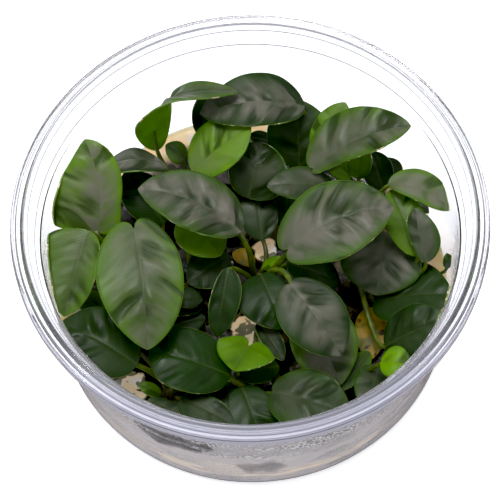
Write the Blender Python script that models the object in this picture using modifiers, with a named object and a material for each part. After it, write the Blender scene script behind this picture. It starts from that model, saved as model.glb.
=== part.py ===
"""A cup of young dwarf anubias, as grown in culture: a clear plastic cup with a shallow bed of
cream nutrient gel, and ten plantlets that stand in it, each a creeping rhizome with its roots
and a tuft of stalked, leathery leaves. Sizes below are in millimetres; the model is in metres.
"""
import math
from collections import namedtuple

import bmesh
import bpy
from mathutils import Matrix, Vector

MM = 0.001
MERGE = 0.01 * MM

# The cup: a thin wall that leans out a little, on a rounded base corner.
WALL = 0.5
BASE_RADIUS = 43.5
WALL_LEAN = 0.029
CORNER_RADIUS = 2.5
CORNER_STEPS = 3
BODY_TOP = 36.4
TURN_STEPS = 48

# The rim: a step for a lid, a flared collar with a flat lip, two ridges and a turned-down skirt.
STEP_RADIUS = 45.3
STEP_TOP = 37.9
LIP_RADIUS = 47.0
LIP_WIDTH = 0.5
CUP_HEIGHT = 43.8
RIM_RADIUS = 50.0
RIM_TOP = 42.4
RIDGE_HEIGHT = 0.8
BEAD_HEIGHT = 0.3
RIM_THICKNESS = 0.7
SKIRT_FOOT = 40.2

# The gel fills the foot of the cup, and each rhizome stands in a plain hole in it.
GAP = 0.3
GEL_TOP = 9.5
FOOT_RADIUS = 2.2
FOOT_LOW = 5.0
FOOT_SIDES = 12

# A rhizome lies on the gel, and its tuft of leaves starts from a short crown on top of it.
RHIZOME_RADIUS = 1.3
RHIZOME_HALF_LENGTH = 4.0
RHIZOME_KNOTS = ((-1, 0.6), (-0.4, 1), (0.4, 1), (1, 0.7))
RHIZOME_DROOP = 0.2
ROOT_RADIUS = 0.5
ROOT_TAPER = (1, 0.9, 0.8, 0.5)
ROOT_START = 0.5
ROOT_KNEE = 3.5
ROOT_BEND = 0.7
FOOT_TAPER = 0.8
CROWN_RADIUS = 1.8
CROWN_TAPER = 0.75
CROWN_HEIGHT = 2.2
CROWN_SIDES = 6
RHIZOME_AXIS = GEL_TOP + 1.7
CROWN_LOW = RHIZOME_AXIS + RHIZOME_RADIUS + GAP

# A blade: its thickness, how full it is towards the tip, how soon its skew fades there, where its
# lobes stand and how they and its lifted edges fade inwards, and how many spans it is made of.
BLADE = 0.6
TIP_FULLNESS = 2.2
TIP_POINT = 0.76
SKEW_FADE = 1.4
LOBE_PLACE = 0.6
LOBE_FADE = 1.3
CUP_CURVE = 1.6
BROAD_BLADE = 8.5
BROAD_SPANS = (6, 4)
NARROW_SPANS = (5, 2)

# A stalk has this radius, and this share of the blade's width on top of it. It tapers as it
# rises, leans out, and eases into the two places under the midrib that it runs on to.
STALK_LEAST = 0.35
STALK_SHARE = 0.015
STALK_TAPER = (1.3, 1.1, 1, 0.9, 0.7)
STALK_ENDS = (0.04, 0.16)
STALK_SEAT = 0.15
STALK_RISE = 0.35
STALK_LEAN = 0.05
STALK_EASE = 0.25
STALK_DROOP = 0.2
BROAD_SIDES = 6
NARROW_SIDES = 4

# A blade that reaches the wall turns up along it, this far inside the wall's outer face.
WALL_CLEARANCE = 1.2
WALL_CLIMB = 0.7

UP = Vector((0, 0, 1))

# base and tip are where the midrib starts and ends. widest is where along the midrib the blade
# is broadest, skew makes the right-hand half broader than the left one, heart draws both lobes
# back behind the base, and roll turns the blade about its midrib, in degrees at base and tip.
# arch bows the midrib up, bend bows it to the right, and cup lifts both edges. bow and lift
# carry the stalk round its neighbours, to one side and upwards.
Leaf = namedtuple(
    "Leaf",
    "base tip width widest skew heart roll arch bend cup bow lift",
    defaults=(0.45, 0, 0, (0, 0), 1, 0, 0, 0, 0),
)

# creep is the compass direction that the rhizome grows in, in degrees from +X, and each root
# is a direction and a length.
Plantlet = namedtuple("Plantlet", "crown creep roots leaves")

PLANTLETS = {
    "back_left": Plantlet((-15, 22), 35, ((155, 10), (75, 9)), (
        Leaf((-18, 22, 26), (-32.5, 21.5, 26), 10, roll=(-30, -30), arch=4.2),
        Leaf((-20, 28.2, 22.6), (-1.4, 33.6, 37), 10.4, 0.4, roll=(95, 8), arch=9.7, bend=-2.5, cup=0.08),
        Leaf((-12, 21, 25), (1, 27, 33.5), 12.5, 0.48, skew=-0.08, heart=0.02, arch=1.5, cup=0.05),
        Leaf((-14, 25.5, 22), (-18, 28, 25), 5, 0.5),
    )),
    "back": Plantlet((9, 24), 160, ((100, 9), (20, 10)), (
        Leaf((-9.5, 31.5, 22), (-9.5, 37, 31), 5, 0.5),
        Leaf((13, 33, 31), (-10, 31.5, 32), 13.5, 0.42, skew=0.1, arch=3.5, lift=-0.25),
        Leaf((0, 16, 21), (3.5, 26.5, 27), 13.5, 0.5, skew=0.2, arch=1.5, cup=0.3, bow=-9, lift=0.25),
        Leaf((19, 15.5, 25), (4, 15, 28), 8.5, arch=1.5),
        Leaf((14.5, 19, 28), (35.5, 23.5, 37), 12, skew=-0.35, heart=0.05, arch=1.5, bend=-1.5, cup=0.1,
             bow=7),
        Leaf((16, 23.5, 24.5), (22, 33, 32), 8.5, cup=0.1),
        Leaf((11.5, 24, 20), (11.5, 35.5, 30), 14, 0.5, arch=1.5, cup=0.05),
        Leaf((13.5, 25, 18), (14, 30.5, 22), 2.5, 0.5, arch=0.5),
        Leaf((6.5, 30, 20), (0.5, 30, 24), 4, 0.5, arch=0.5),
        Leaf((8.5, 19, 15.5), (8, 11.5, 14), 7, 0.5),
    )),
    "left": Plantlet((-29, 3), 105, ((145, 9), (235, 9)), (
        Leaf((-33, 8, 24), (-35, 23.9, 36), 18, 0.12, skew=-0.5, heart=0.05, arch=1.5, bend=1.5, cup=0.05),
        Leaf((-34.8, 4.5, 30.5), (-40.4, -12.8, 24.5), 13, 0.3, skew=0.33, arch=0.8, cup=0.2),
        Leaf((-24.5, 1.5, 36), (-22.4, -23.3, 29), 18.3, 0.37, skew=0.06, heart=0.1, arch=2, bend=-0.6),
        Leaf((-19, 12.5, 17), (-27.5, 23, 22), 10, 0.5),
    )),
    "middle": Plantlet((1.5, -1), 20, ((320, 9), (230, 10)), (
        Leaf((2, -4, 22.5), (6, -16, 20.5), 12, skew=0.25, heart=0.05, arch=1.5),
        Leaf((-5, -4, 27), (-8, -17, 20), 6.5, skew=-0.25, cup=0.2),
        Leaf((8, -11, 32), (18, -25.5, 27), 14, 0.42, skew=0.08, heart=0.05, arch=2, bow=3, lift=0.25),
        Leaf((-2, 1.5, 33), (-23.5, 10.5, 37), 13.5, arch=2, bend=1.6),
        Leaf((2.5, 8, 16), (1.5, 19.5, 18.5), 8.5, 0.5, bow=-1.5),
        Leaf((8, -3.5, 34), (30.5, 3, 38), 18, heart=0.08, arch=2, bend=-1.6, bow=1.5, lift=-0.25),
        Leaf((7.5, -1.5, 24), (19, -5, 19), 8.5, 0.5, bow=-1.5),
        Leaf((2.5, -1, 20), (7, 0, 23), 2.5, arch=0.5),
    )),
    "back_right": Plantlet((30, 14), 85, ((25, 9), (125, 9)), (
        Leaf((24.5, 20.5, 20), (25, 24.5, 30), 5.5, 0.5, arch=0.5, cup=0.2),
        Leaf((23, 22, 18), (17.5, 25, 21), 6, 0.5, arch=0.5, cup=0.1),
        Leaf((30, 19.5, 16), (27.5, 27, 20.5), 7, 0.5, cup=0.1),
        Leaf((30, 11.5, 33.5), (43.5, 6, 30.5), 7.5, 0.48, skew=-0.25, arch=1.5, bend=-1),
        Leaf((33, 21.5, 15), (30.5, 26.5, 18), 6, 0.5, arch=0.5),
        Leaf((33.5, 18, 18), (39.5, 11, 20), 3.5, 0.5, arch=0.5),
    )),
    "right": Plantlet((23, -2), 170, ((340, 10), (70, 9)), (
        Leaf((37.5, -4.5, 27), (35.5, 6, 32), 6.5, 0.5, skew=0.35, bend=-0.5, cup=0.2),
        Leaf((36, -2.5, 26.5), (30.5, 11.5, 30.5), 9, 0.5, cup=0.1),
        Leaf((26.5, -8.5, 17), (42.5, -11.5, 25), 15.5, 0.5, skew=-0.1, heart=0.03, roll=(3, 3), arch=1.5),
        Leaf((42.5, -3.5, 22), (42, -2, 26), 2.5, 0.5, arch=0.5),
        Leaf((29.5, 5, 23), (26.5, -9, 21), 17.5, 0.55, arch=2, cup=0.05),
        Leaf((28, -21, 21), (41, -19, 29), 11.5, heart=0.02, roll=(-6, -6), arch=1.5),
    )),
    "front_right": Plantlet((22, -24), 190, ((320, 9), (215, 9)), (
        Leaf((13, -10.5, 21), (18, -28, 17.5), 14.5, heart=0.02, arch=1.5, bend=0.6, lift=-0.25),
        Leaf((26.4, -26.6, 25.5), (32.5, -28.4, 27), 7.2, 0.45, heart=0.02),
        Leaf((26.5, -24, 17), (22.5, -35, 20), 8, 0.42, heart=0.02, arch=1.5),
        Leaf((24.5, -20, 16), (18.5, -28.5, 15.5), 4.5),
    )),
    "front": Plantlet((0, -28), 15, ((225, 9), (335, 9)), (
        Leaf((-5.5, -26.5, 21), (-22.5, -21.5, 24), 15, 0.54, roll=(-5, -5), arch=2),
        Leaf((-1.4, -21.3, 24), (-4.5, -27.2, 25), 13, 0.12, heart=0.37, roll=(-5, -23), arch=0.5, bow=5),
        Leaf((1, -12.5, 17), (6, -22, 17.5), 4.5, 0.5, cup=0.3),
        Leaf((3.5, -30.5, 21), (19.5, -37.5, 22), 14, 0.42, heart=0.05, arch=2),
        Leaf((-3, -28.5, 19), (1, -41, 16), 10.5, 0.5, heart=0.03, arch=1.5),
        Leaf((5, -23, 17), (-4, -25.5, 18), 6.5, 0.5),
    )),
    "front_left": Plantlet((-18, -27), 330, ((160, 9), (250, 8)), (
        Leaf((-25, -24, 23), (-41, -14.5, 25), 15.5, 0.52, skew=-0.05, roll=(-5, -5), arch=2, bow=-1.5),
        Leaf((-16, -30.5, 20), (-5, -37.5, 20), 7.5, 0.42, skew=0.25, arch=0.8, cup=0.1),
        Leaf((-23, -29.5, 17), (-13, -36.5, 19), 5, skew=0.3, arch=0.8, cup=0.1, bow=1.5),
        Leaf((-20.5, -28, 16), (-25, -26.5, 18), 3, 0.5, arch=0.5),
        Leaf((-31, -9.5, 15), (-38, -3, 15), 6, 0.5),
        Leaf((-7, -25, 15), (-7.5, -32.5, 16), 6, 0.5),
        Leaf((-12, -40, 16.5), (-25, -35, 18), 9, 0.5, roll=(80, 80), arch=0, bend=-0.6),
    )),
    "inner_left": Plantlet((-13, 0), 240, ((80, 9), (300, 9)), (
        Leaf((-14.5, 10, 25), (-6.5, 0, 25), 11),
        Leaf((-17.5, -6, 17), (-11, -6.5, 16.5), 5, 0.5),
        Leaf((-18.5, -8, 14.5), (-11, -7, 14), 4, 0.5),
        Leaf((-18.5, -11, 13), (-10.5, -9, 13), 5.5, 0.5, arch=0.5),
        Leaf((-5, 3.5, 18), (-14, -2.5, 17), 9.5, 0.5, arch=0.5),
        Leaf((-5.5, 6, 17), (-14, 7.5, 16.5), 7, 0.5),
    )),
}

# Two old leaves have dropped off and lie on the gel.
FALLEN = {
    "fallen_leaf_right": Leaf((26, -7, 10.5), (25, -19.5, 10.5), 7),
    "fallen_leaf_middle": Leaf((0.5, 4.5, 10.5), (-4, 8, 10.5), 4, 0.5),
}

PLASTIC = ((0.86, 0.88, 0.92, 0.3), 0.08)
CREAM_GEL = ((0.82, 0.74, 0.58, 1), 0.35)
RHIZOME_BROWN = ((0.10, 0.06, 0.03, 1), 0.7)
LEAF_GREEN = ((0.05, 0.11, 0.03, 1), 0.4)
AMBER = ((0.35, 0.17, 0.02, 1), 0.5)


def clear_scene():
    """Remove what the scene holds, so the model starts from nothing."""
    for thing in list(bpy.data.objects):
        bpy.data.objects.remove(thing, do_unlink=True)


def finish(thing, colour, roughness):
    """Give an object its own material: a colour with alpha, and a roughness."""
    material = bpy.data.materials.new(thing.name)
    material.use_nodes = True
    shader = material.node_tree.nodes["Principled BSDF"]
    shader.inputs["Base Color"].default_value = (*colour[:3], 1)
    shader.inputs["Alpha"].default_value = colour[3]
    shader.inputs["Roughness"].default_value = roughness
    shader.inputs["Metallic"].default_value = 0
    material.diffuse_color = colour
    thing.data.materials.clear()
    thing.data.materials.append(material)


def new_object(name, mesh, collection):
    thing = bpy.data.objects.new(name, mesh)
    collection.objects.link(thing)
    return thing


def turned(name, profile, collection):
    """Turn a profile of (radius, height) points about the cup's axis."""
    mesh = bpy.data.meshes.new(name)
    points = [(radius * MM, 0, height * MM) for radius, height in profile]
    mesh.from_pydata(points, [(i, i + 1) for i in range(len(points) - 1)], [])
    thing = new_object(name, mesh, collection)
    screw = thing.modifiers.new("turn", "SCREW")
    screw.axis = "Z"
    screw.steps = TURN_STEPS
    screw.render_steps = TURN_STEPS
    screw.use_merge_vertices = True
    screw.merge_threshold = MERGE
    screw.use_smooth_shade = True
    return thing


def corner(radius, going_up):
    """The rounded base corner, about the centre that the inner and outer faces share."""
    centre = BASE_RADIUS + WALL_LEAN * CORNER_RADIUS - CORNER_RADIUS
    angles = [math.radians(-90 + 90 * i / CORNER_STEPS) for i in range(CORNER_STEPS + 1)]
    points = [(centre + radius * math.cos(a), CORNER_RADIUS + radius * math.sin(a)) for a in angles]
    return points if going_up else points[::-1]


def wall_radius(height):
    """Radius of the cup's outer face at a height."""
    return BASE_RADIUS + WALL_LEAN * height


def build_cup(collection):
    """One thin shell: up the inside, over the rim and down the outside."""
    lip_edge = LIP_RADIUS + LIP_WIDTH
    inside = [
        (0, WALL),
        *corner(CORNER_RADIUS - WALL, True),
        (wall_radius(BODY_TOP) - WALL, BODY_TOP + WALL),
        (STEP_RADIUS, STEP_TOP),
        (LIP_RADIUS, CUP_HEIGHT),
    ]
    rim = [
        (lip_edge, CUP_HEIGHT),
        (lip_edge + BEAD_HEIGHT, RIM_TOP + BEAD_HEIGHT),
        (lip_edge + 2 * WALL, RIM_TOP + RIDGE_HEIGHT),
        (RIM_RADIUS - 2 * WALL, RIM_TOP),
        (RIM_RADIUS - WALL, RIM_TOP + BEAD_HEIGHT),
        (RIM_RADIUS, RIM_TOP),
        (RIM_RADIUS, SKIRT_FOOT),
        (RIM_RADIUS - WALL, SKIRT_FOOT),
        (RIM_RADIUS - WALL, RIM_TOP - RIM_THICKNESS),
    ]
    outside = [
        (lip_edge + WALL, RIM_TOP - RIM_THICKNESS),
        (lip_edge, RIM_TOP - RIM_THICKNESS - WALL),
        (STEP_RADIUS + WALL, STEP_TOP - WALL),
        (wall_radius(BODY_TOP), BODY_TOP),
        *corner(CORNER_RADIUS, False),
        (0, 0),
    ]
    cup = turned("cup", inside + rim + outside, collection)
    finish(cup, *PLASTIC)


def build_gel(collection, cutters):
    """A disc of gel with the cup's own corner, and a plain hole for each rhizome's foot."""
    corner_down = corner(CORNER_RADIUS - WALL - GAP, False)
    top = (wall_radius(GEL_TOP) - WALL - GAP, GEL_TOP)
    gel = turned("gel", [(0, GEL_TOP), top, *corner_down, (0, WALL + GAP)], collection)
    for name, plantlet in PLANTLETS.items():
        depth = GEL_TOP - FOOT_LOW + 2 * GAP
        hole = new_cone("hole_" + name, (FOOT_RADIUS + GAP, FOOT_RADIUS + GAP), depth, FOOT_SIDES, cutters)
        hole.location = Vector((*plantlet.crown, FOOT_LOW - GAP + depth / 2)) * MM
        hole.display_type = "WIRE"
        hole.hide_render = True
    cut = gel.modifiers.new("holes", "BOOLEAN")
    cut.operation = "DIFFERENCE"
    cut.operand_type = "COLLECTION"
    cut.collection = cutters
    finish(gel, *CREAM_GEL)


def new_cone(name, radii, depth, sides, collection):
    """A closed cone frustum or cylinder, centred on its origin."""
    shape = bmesh.new()
    bmesh.ops.create_cone(shape, cap_ends=True, segments=sides, radius1=radii[0] * MM,
                          radius2=radii[1] * MM, depth=depth * MM)
    mesh = bpy.data.meshes.new(name)
    shape.to_mesh(mesh)
    shape.free()
    return new_object(name, mesh, collection)


def evaluated_mesh(thing):
    bpy.context.view_layer.update()
    return bpy.data.meshes.new_from_object(thing.evaluated_get(bpy.context.evaluated_depsgraph_get()))


def tube(name, points, radii, sides, collection):
    """A tube of few sides along a path, thicker or thinner at each point, as a closed mesh."""
    curve = bpy.data.curves.new(name, "CURVE")
    curve.dimensions = "3D"
    curve.bevel_depth = MM
    curve.bevel_resolution = (sides - 4) // 2
    curve.use_fill_caps = True
    spline = curve.splines.new("POLY")
    spline.points.add(len(points) - 1)
    for knot, point, radius in zip(spline.points, points, radii):
        knot.co = (*(point * MM), 1)
        knot.radius = radius
    guide = new_object(name, curve, collection)
    mesh = evaluated_mesh(guide)
    shape = bmesh.new()
    shape.from_mesh(mesh)
    bmesh.ops.remove_doubles(shape, verts=shape.verts, dist=MERGE)
    bmesh.ops.recalc_face_normals(shape, faces=shape.faces)
    shape.to_mesh(mesh)
    shape.free()
    solid = new_object(name, mesh, collection)
    solid.matrix_world = guide.matrix_world
    bpy.data.objects.remove(guide)
    return solid


def fuse(body, pieces):
    """Unite a body and the pieces that grow from it by one Boolean, then remove the pieces."""
    group = bpy.data.collections.new(body.name + "_pieces")
    bpy.context.scene.collection.children.link(group)
    for piece in pieces:
        group.objects.link(piece)
    union = body.modifiers.new("union", "BOOLEAN")
    union.operation = "UNION"
    union.operand_type = "COLLECTION"
    union.collection = group
    mesh = evaluated_mesh(body)
    body.modifiers.clear()
    body.data = mesh
    for piece in pieces:
        bpy.data.objects.remove(piece)
    bpy.data.collections.remove(group)


def inside_wall(point, climb):
    """Hold a point inside the cup's wall; what is pushed back climbs the wall instead."""
    limit = wall_radius(point.z) - WALL_CLEARANCE
    reach = math.hypot(point.x, point.y)
    excess = max(0, reach - limit)
    if excess == 0:
        return point
    keep = limit / reach
    return Vector((point.x * keep, point.y * keep, point.z + climb * excess))


def half_width(u, widest):
    """Share of a blade's half width: a round base, full sides and a pointed tip."""
    if u < widest:
        return math.sqrt(max(0, 1 - ((widest - u) / widest) ** 2))
    return max(0, 1 - ((u - widest) / (1 - widest)) ** TIP_FULLNESS) ** TIP_POINT


def blade_point(leaf, u, v):
    """A point of a leaf blade and its normal. u runs from base to tip, v across from -1 to 1."""
    base, tip = Vector(leaf.base), Vector(leaf.tip)
    along = tip - base
    side = along.cross(UP).normalized()
    rise = side.cross(along).normalized()
    bow = leaf.arch * rise + leaf.bend * side
    middle = base + u * along + 4 * u * (1 - u) * bow
    tangent = (along + (4 - 8 * u) * bow).normalized()
    side = (side - side.dot(tangent) * tangent).normalized()
    normal = side.cross(tangent)
    turn = math.radians(leaf.roll[0] + (leaf.roll[1] - leaf.roll[0]) * u)
    across = side * math.cos(turn) + normal * math.sin(turn)
    normal = normal * math.cos(turn) - side * math.sin(turn)
    share = half_width(u, leaf.widest)
    lean = leaf.skew * math.copysign(min(1, SKEW_FADE * (1 - u)), v)
    reach = leaf.width / 2 * share * (1 + lean)
    lobe = leaf.heart * along.length * abs(v) ** LOBE_FADE * math.sin(math.pi * share ** LOBE_PLACE)
    if u > leaf.widest:
        lobe = 0
    lift = leaf.cup * reach * abs(v) ** CUP_CURVE
    return inside_wall(middle - lobe * tangent + reach * v * across + lift * normal, WALL_CLIMB), normal


def blade(name, leaf, collection):
    """A leaf blade: a flat grid bent to the leaf's form, split into triangles and thickened."""
    spans = BROAD_SPANS if leaf.width >= BROAD_BLADE else NARROW_SPANS
    shape = bmesh.new()
    bmesh.ops.create_grid(shape, x_segments=spans[0], y_segments=spans[1], size=1)
    for vertex in shape.verts:
        u = (1 - math.cos(math.pi * (vertex.co.x + 1) / 2)) / 2
        vertex.co = blade_point(leaf, u, vertex.co.y)[0] * MM
    bmesh.ops.remove_doubles(shape, verts=shape.verts, dist=MERGE)
    bmesh.ops.triangulate(shape, faces=shape.faces)
    mesh = bpy.data.meshes.new(name)
    shape.to_mesh(mesh)
    shape.free()
    thing = new_object(name, mesh, collection)
    thicken = thing.modifiers.new("thickness", "SOLIDIFY")
    thicken.thickness = BLADE * MM
    thicken.offset = 0
    return thing


def curve_points(start, first, second, end, count):
    """Points along a cubic curve."""
    points = []
    for i in range(count):
        t = i / (count - 1)
        s = 1 - t
        points.append(s ** 3 * start + 3 * s * s * t * first + 3 * s * t * t * second + t ** 3 * end)
    return points


def stalk(name, leaf, crown, collection):
    """A stalk that rises from the crown and runs on under the first stretch of the midrib."""
    radius = STALK_LEAST + STALK_SHARE * leaf.width
    under = []
    for u in STALK_ENDS:
        point, normal = blade_point(leaf, u, 0)
        under.append(point - normal * (radius - STALK_SEAT))
    centre = Vector((*crown, CROWN_LOW + CROWN_HEIGHT / 2))
    outward = under[0] - centre
    outward.z = 0
    heading = outward.normalized()
    start = centre + heading * min(CROWN_RADIUS - radius, outward.length)
    aside = Vector((-heading.y, heading.x, 0)) * leaf.bow
    length = (under[0] - start).length
    tangent = (under[1] - under[0]).normalized()
    tangent.z = max(tangent.z, -STALK_DROOP)
    first = start + UP * (STALK_RISE + leaf.lift) * length + aside + heading * STALK_LEAN * length
    second = under[0] - (tangent + UP) * STALK_EASE * length + aside
    path = curve_points(start, first, second, under[0], 4)
    path = [inside_wall(point, 0) for point in path] + [under[1]]
    sides = BROAD_SIDES if leaf.width >= BROAD_BLADE else NARROW_SIDES
    return tube(name, path, [radius * share for share in STALK_TAPER], sides, collection)


def build_rhizome(name, plantlet, collection):
    """A creeping stem on the gel with its roots, fused to the foot that stands in the gel."""
    heading = heading_at(plantlet.creep)
    centre = Vector((*plantlet.crown, RHIZOME_AXIS))
    path = []
    for end, _ in RHIZOME_KNOTS:
        path.append(centre + heading * RHIZOME_HALF_LENGTH * end - UP * RHIZOME_DROOP * end * end)
    radii = [RHIZOME_RADIUS * share for _, share in RHIZOME_KNOTS]
    pieces = [tube("stem", path, radii, BROAD_SIDES, collection)]
    for direction, length in plantlet.roots:
        way = heading_at(direction)
        low = Vector((*plantlet.crown, GEL_TOP + GAP + ROOT_RADIUS))
        knee = low + way * ROOT_KNEE + UP * ROOT_RADIUS
        path = [centre + way * ROOT_START, knee, low + way * length * ROOT_BEND, low + way * length]
        radii = [ROOT_RADIUS * share for share in ROOT_TAPER]
        pieces.append(tube("root", path, radii, NARROW_SIDES, collection))
    height = RHIZOME_AXIS - FOOT_LOW
    foot_radii = (FOOT_RADIUS * FOOT_TAPER, FOOT_RADIUS)
    rhizome = new_cone("rhizome_" + name, foot_radii, height, FOOT_SIDES, collection)
    rhizome.data.transform(matrix_at(plantlet.crown, FOOT_LOW + height / 2))
    fuse(rhizome, pieces)
    finish(rhizome, *RHIZOME_BROWN)


def matrix_at(place, height):
    return Matrix.Translation(Vector((*place, height)) * MM)


def heading_at(direction):
    """A level direction of length 1, from degrees."""
    angle = math.radians(direction)
    return Vector((math.cos(angle), math.sin(angle), 0))


def build_leaves(name, plantlet, collection):
    """The tuft of leaves: blades and stalks fused to the crown that they rise from."""
    pieces = []
    for leaf in plantlet.leaves:
        pieces.append(blade("blade", leaf, collection))
        pieces.append(stalk("stalk", leaf, plantlet.crown, collection))
    radii = (CROWN_RADIUS, CROWN_RADIUS * CROWN_TAPER)
    tuft = new_cone("leaves_" + name, radii, CROWN_HEIGHT, CROWN_SIDES, collection)
    tuft.data.transform(matrix_at(plantlet.crown, CROWN_LOW + CROWN_HEIGHT / 2))
    fuse(tuft, pieces)
    finish(tuft, *LEAF_GREEN)


def main():
    clear_scene()
    parts = bpy.data.collections.new("potted_anubias")
    cutters = bpy.data.collections.new("cutters")
    for collection in (parts, cutters):
        bpy.context.scene.collection.children.link(collection)
    build_cup(parts)
    build_gel(parts, cutters)
    for name, plantlet in PLANTLETS.items():
        build_rhizome(name, plantlet, parts)
        build_leaves(name, plantlet, parts)
    for name, leaf in FALLEN.items():
        fallen = blade(name, leaf, parts)
        finish(fallen, *AMBER)


main()
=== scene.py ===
"""A cup of young dwarf anubias, as grown in culture, dressed for a studio photograph: a clear
moulded cup misted with condensation, a bed of cream nutrient gel, and ten rooted plantlets whose
leathery leaves crowd one over another. Sizes in the tables are in millimetres, the model in metres.
"""
import functools
import math
import random
from collections import namedtuple

import bpy
from mathutils import Matrix, Vector, noise


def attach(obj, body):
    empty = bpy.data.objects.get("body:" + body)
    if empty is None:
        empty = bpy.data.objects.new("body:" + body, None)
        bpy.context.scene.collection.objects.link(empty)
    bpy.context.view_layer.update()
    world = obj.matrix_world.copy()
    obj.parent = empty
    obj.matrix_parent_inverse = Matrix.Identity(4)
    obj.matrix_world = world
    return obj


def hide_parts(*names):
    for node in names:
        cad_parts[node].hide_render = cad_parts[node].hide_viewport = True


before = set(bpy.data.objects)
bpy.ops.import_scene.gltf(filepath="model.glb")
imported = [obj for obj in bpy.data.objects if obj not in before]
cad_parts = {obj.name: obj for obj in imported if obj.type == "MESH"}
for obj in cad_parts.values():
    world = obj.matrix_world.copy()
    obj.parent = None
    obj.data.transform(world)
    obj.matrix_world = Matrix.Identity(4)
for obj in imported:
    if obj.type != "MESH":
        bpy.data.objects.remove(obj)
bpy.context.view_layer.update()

bl_info = {
    "name": "Potted Anubias",
    "version": (1, 0, 0),
    "blender": (4, 5, 0),
    "location": "3D View > Sidebar > Anubias",
    "description": "Builds the looks of a culture cup of dwarf anubias round its fixed frame",
    "category": "Add Mesh",
}

BODY = "root"
MM = 0.001
UP = Vector((0, 0, 1))
WELD = 0.003

# The cup: a thin wall that leans out a little, on a rounded base corner.
WALL = 0.5
BASE_RADIUS = 43.5
WALL_LEAN = 0.029
CORNER_RADIUS = 2.5
CORNER_STEPS = 8
BODY_TOP = 36.4

# The rim: a step for a lid, a flared collar with a flat lip, two ridges and a turned-down skirt.
STEP_RADIUS = 45.3
STEP_TOP = 37.9
LIP_RADIUS = 47.0
LIP_WIDTH = 0.5
CUP_HEIGHT = 43.8
RIM_RADIUS = 50.0
RIM_TOP = 42.4
RIDGE_HEIGHT = 0.8
BEAD_HEIGHT = 0.3
RIM_THICKNESS = 0.7
SKIRT_FOOT = 40.2
EDGE_ROUNDING = 0.18
EDGE_SEGMENTS = 2
SHARP_EDGE = 20

# Radius and height of the moulded edges, where thin grey lines of painted shade are drawn, and how
# wide those are.
EDGE_SHADE_LINES = (
    (STEP_RADIUS, STEP_TOP), (46.4, 41.8), (LIP_RADIUS, CUP_HEIGHT), (RIM_RADIUS, RIM_TOP),
    (RIM_RADIUS, SKIRT_FOOT),
)
EDGE_SHADE_WIDTH = 0.25

# Over which depths or heights the looks of the wall come or go: mist fades from the front of the
# cup to its middle and up to the step, a thin line of painted shade runs along the foot, gel wets
# the wall in a line, dew starts over it, and the rim's painted lavender-grey shade and its fine
# painted lines fade towards the back.
MIST_FADE = (-41, 8)
MIST_TOP = (33, 37)
FOOT_SHADE_LINE = (2, 3.2)
WET_FOOT = (5, 6.5)
WET_TOP = (7.5, 10)
DEW_FOOT = (16, 19)
RIM_SHADE_FOOT = (36.5, 38.5)
RIM_SHADE_FADE = (-42, -22)
RING_SHADE_FOOT = (37.5, 38.5)
RING_SHADE_FADE = (-30, 10)

# Where dark leaves lie behind the front wall, painted shade puts dark patches on the plastic:
# place, radius and share.
LEAF_SHADE_SPOTS = (
    (-14.5, -40.8, 21, 4.3, 0.9), (-20.5, -38.5, 21, 5.8, 0.9), (-1.5, -43.7, 11.6, 3.2, 0.55),
    (2.5, -43.7, 12, 3, 0.55),
)

# Drops sit round the wall by a mean turn and a spread in degrees, at these least, greatest and
# most usual heights. Most are small, all are flat, and some hang longer than they are wide.
DROP_SEED = 7
DROP_SIDES = 8
DROP_RINGS = 5
DROP_TURN = (-85, 28)
DROP_HEIGHTS = (20, 36.5, 31)
DROP_SIZES = (0.3, 1)
DROP_SMALLNESS = 1.6
DROP_DEPTH = 0.55
DROP_LENGTHS = (0.9, 1.3)

# The gel wets the wall, so it climbs it a little, and its skin is slightly uneven.
GEL_TOP = 9.5
GEL_CLIMB = 0.7
GEL_CLIMB_WIDTH = 2
GEL_CLIMB_STEPS = ((1.2, 0.1), (1.7, 0.3))
GEL_CLEARANCE = 0.06
GEL_RINGS = 26
GEL_STEPS = 120
GEL_UNEVENNESS = 0.22
GEL_UNEVENNESS_SIZE = 7.0
GEL_SKIN_DEPTH = 0.01

# Where light gel shows between the plantlets, left free of painted shade: place, radius and share.
# Near the wall it is all light, with no painted shade.
CLEARINGS = (
    (3.1, 8.7, 0, 2.6, 1), (-0.8, -11.3, 0, 4.2, 1), (-27.2, -23.3, 0, 3.8, 1),
    (-6.3, -23.2, 0, 1.5, 1), (9.3, 11.5, 0, 1.2, 1),
)
GEL_SHADE_FADE = (36, 40)

# A rhizome lies on the gel with its foot and roots in it, and a crown of leaves on top of it. It
# droops and thins towards its ends, and swells and narrows at its leaf scars. A root leaves it
# over the gel, comes down at a knee, sways to one side and dips in. The crown narrows in steps.
FOOT_LOW = 5.0
FOOT_RADII = (1.32, 1.76, 0.6)
RHIZOME_RADIUS = 1.3
RHIZOME_HALF_LENGTH = 4.0
RHIZOME_RINGS = 5
RHIZOME_TAPER = 0.35
RHIZOME_DROOP = 0.2
SCARS = (-0.08, 0.12)
ROOT_RADII = (0.5, 0.45, 0.375, 0.15)
ROOT_AXIS = 0.3
ROOT_START = 0.5
ROOT_KNEE = (3.5, 0.6)
ROOT_BEND = 0.7
ROOT_SWAY = 0.35
ROOT_DIP = 0.5
CROWN_RADIUS = 1.8
CROWN_HEIGHT = 2.2
CROWN_WAIST = 0.8
CROWN_SIDES = 16
CROWN_TAPER = ((0.6, 0.8), (0.6, 0.6), (0.5, 0.35))
GAP = 0.3
RHIZOME_AXIS = GEL_TOP + 1.7
CROWN_LOW = RHIZOME_AXIS + RHIZOME_RADIUS + GAP

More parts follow.
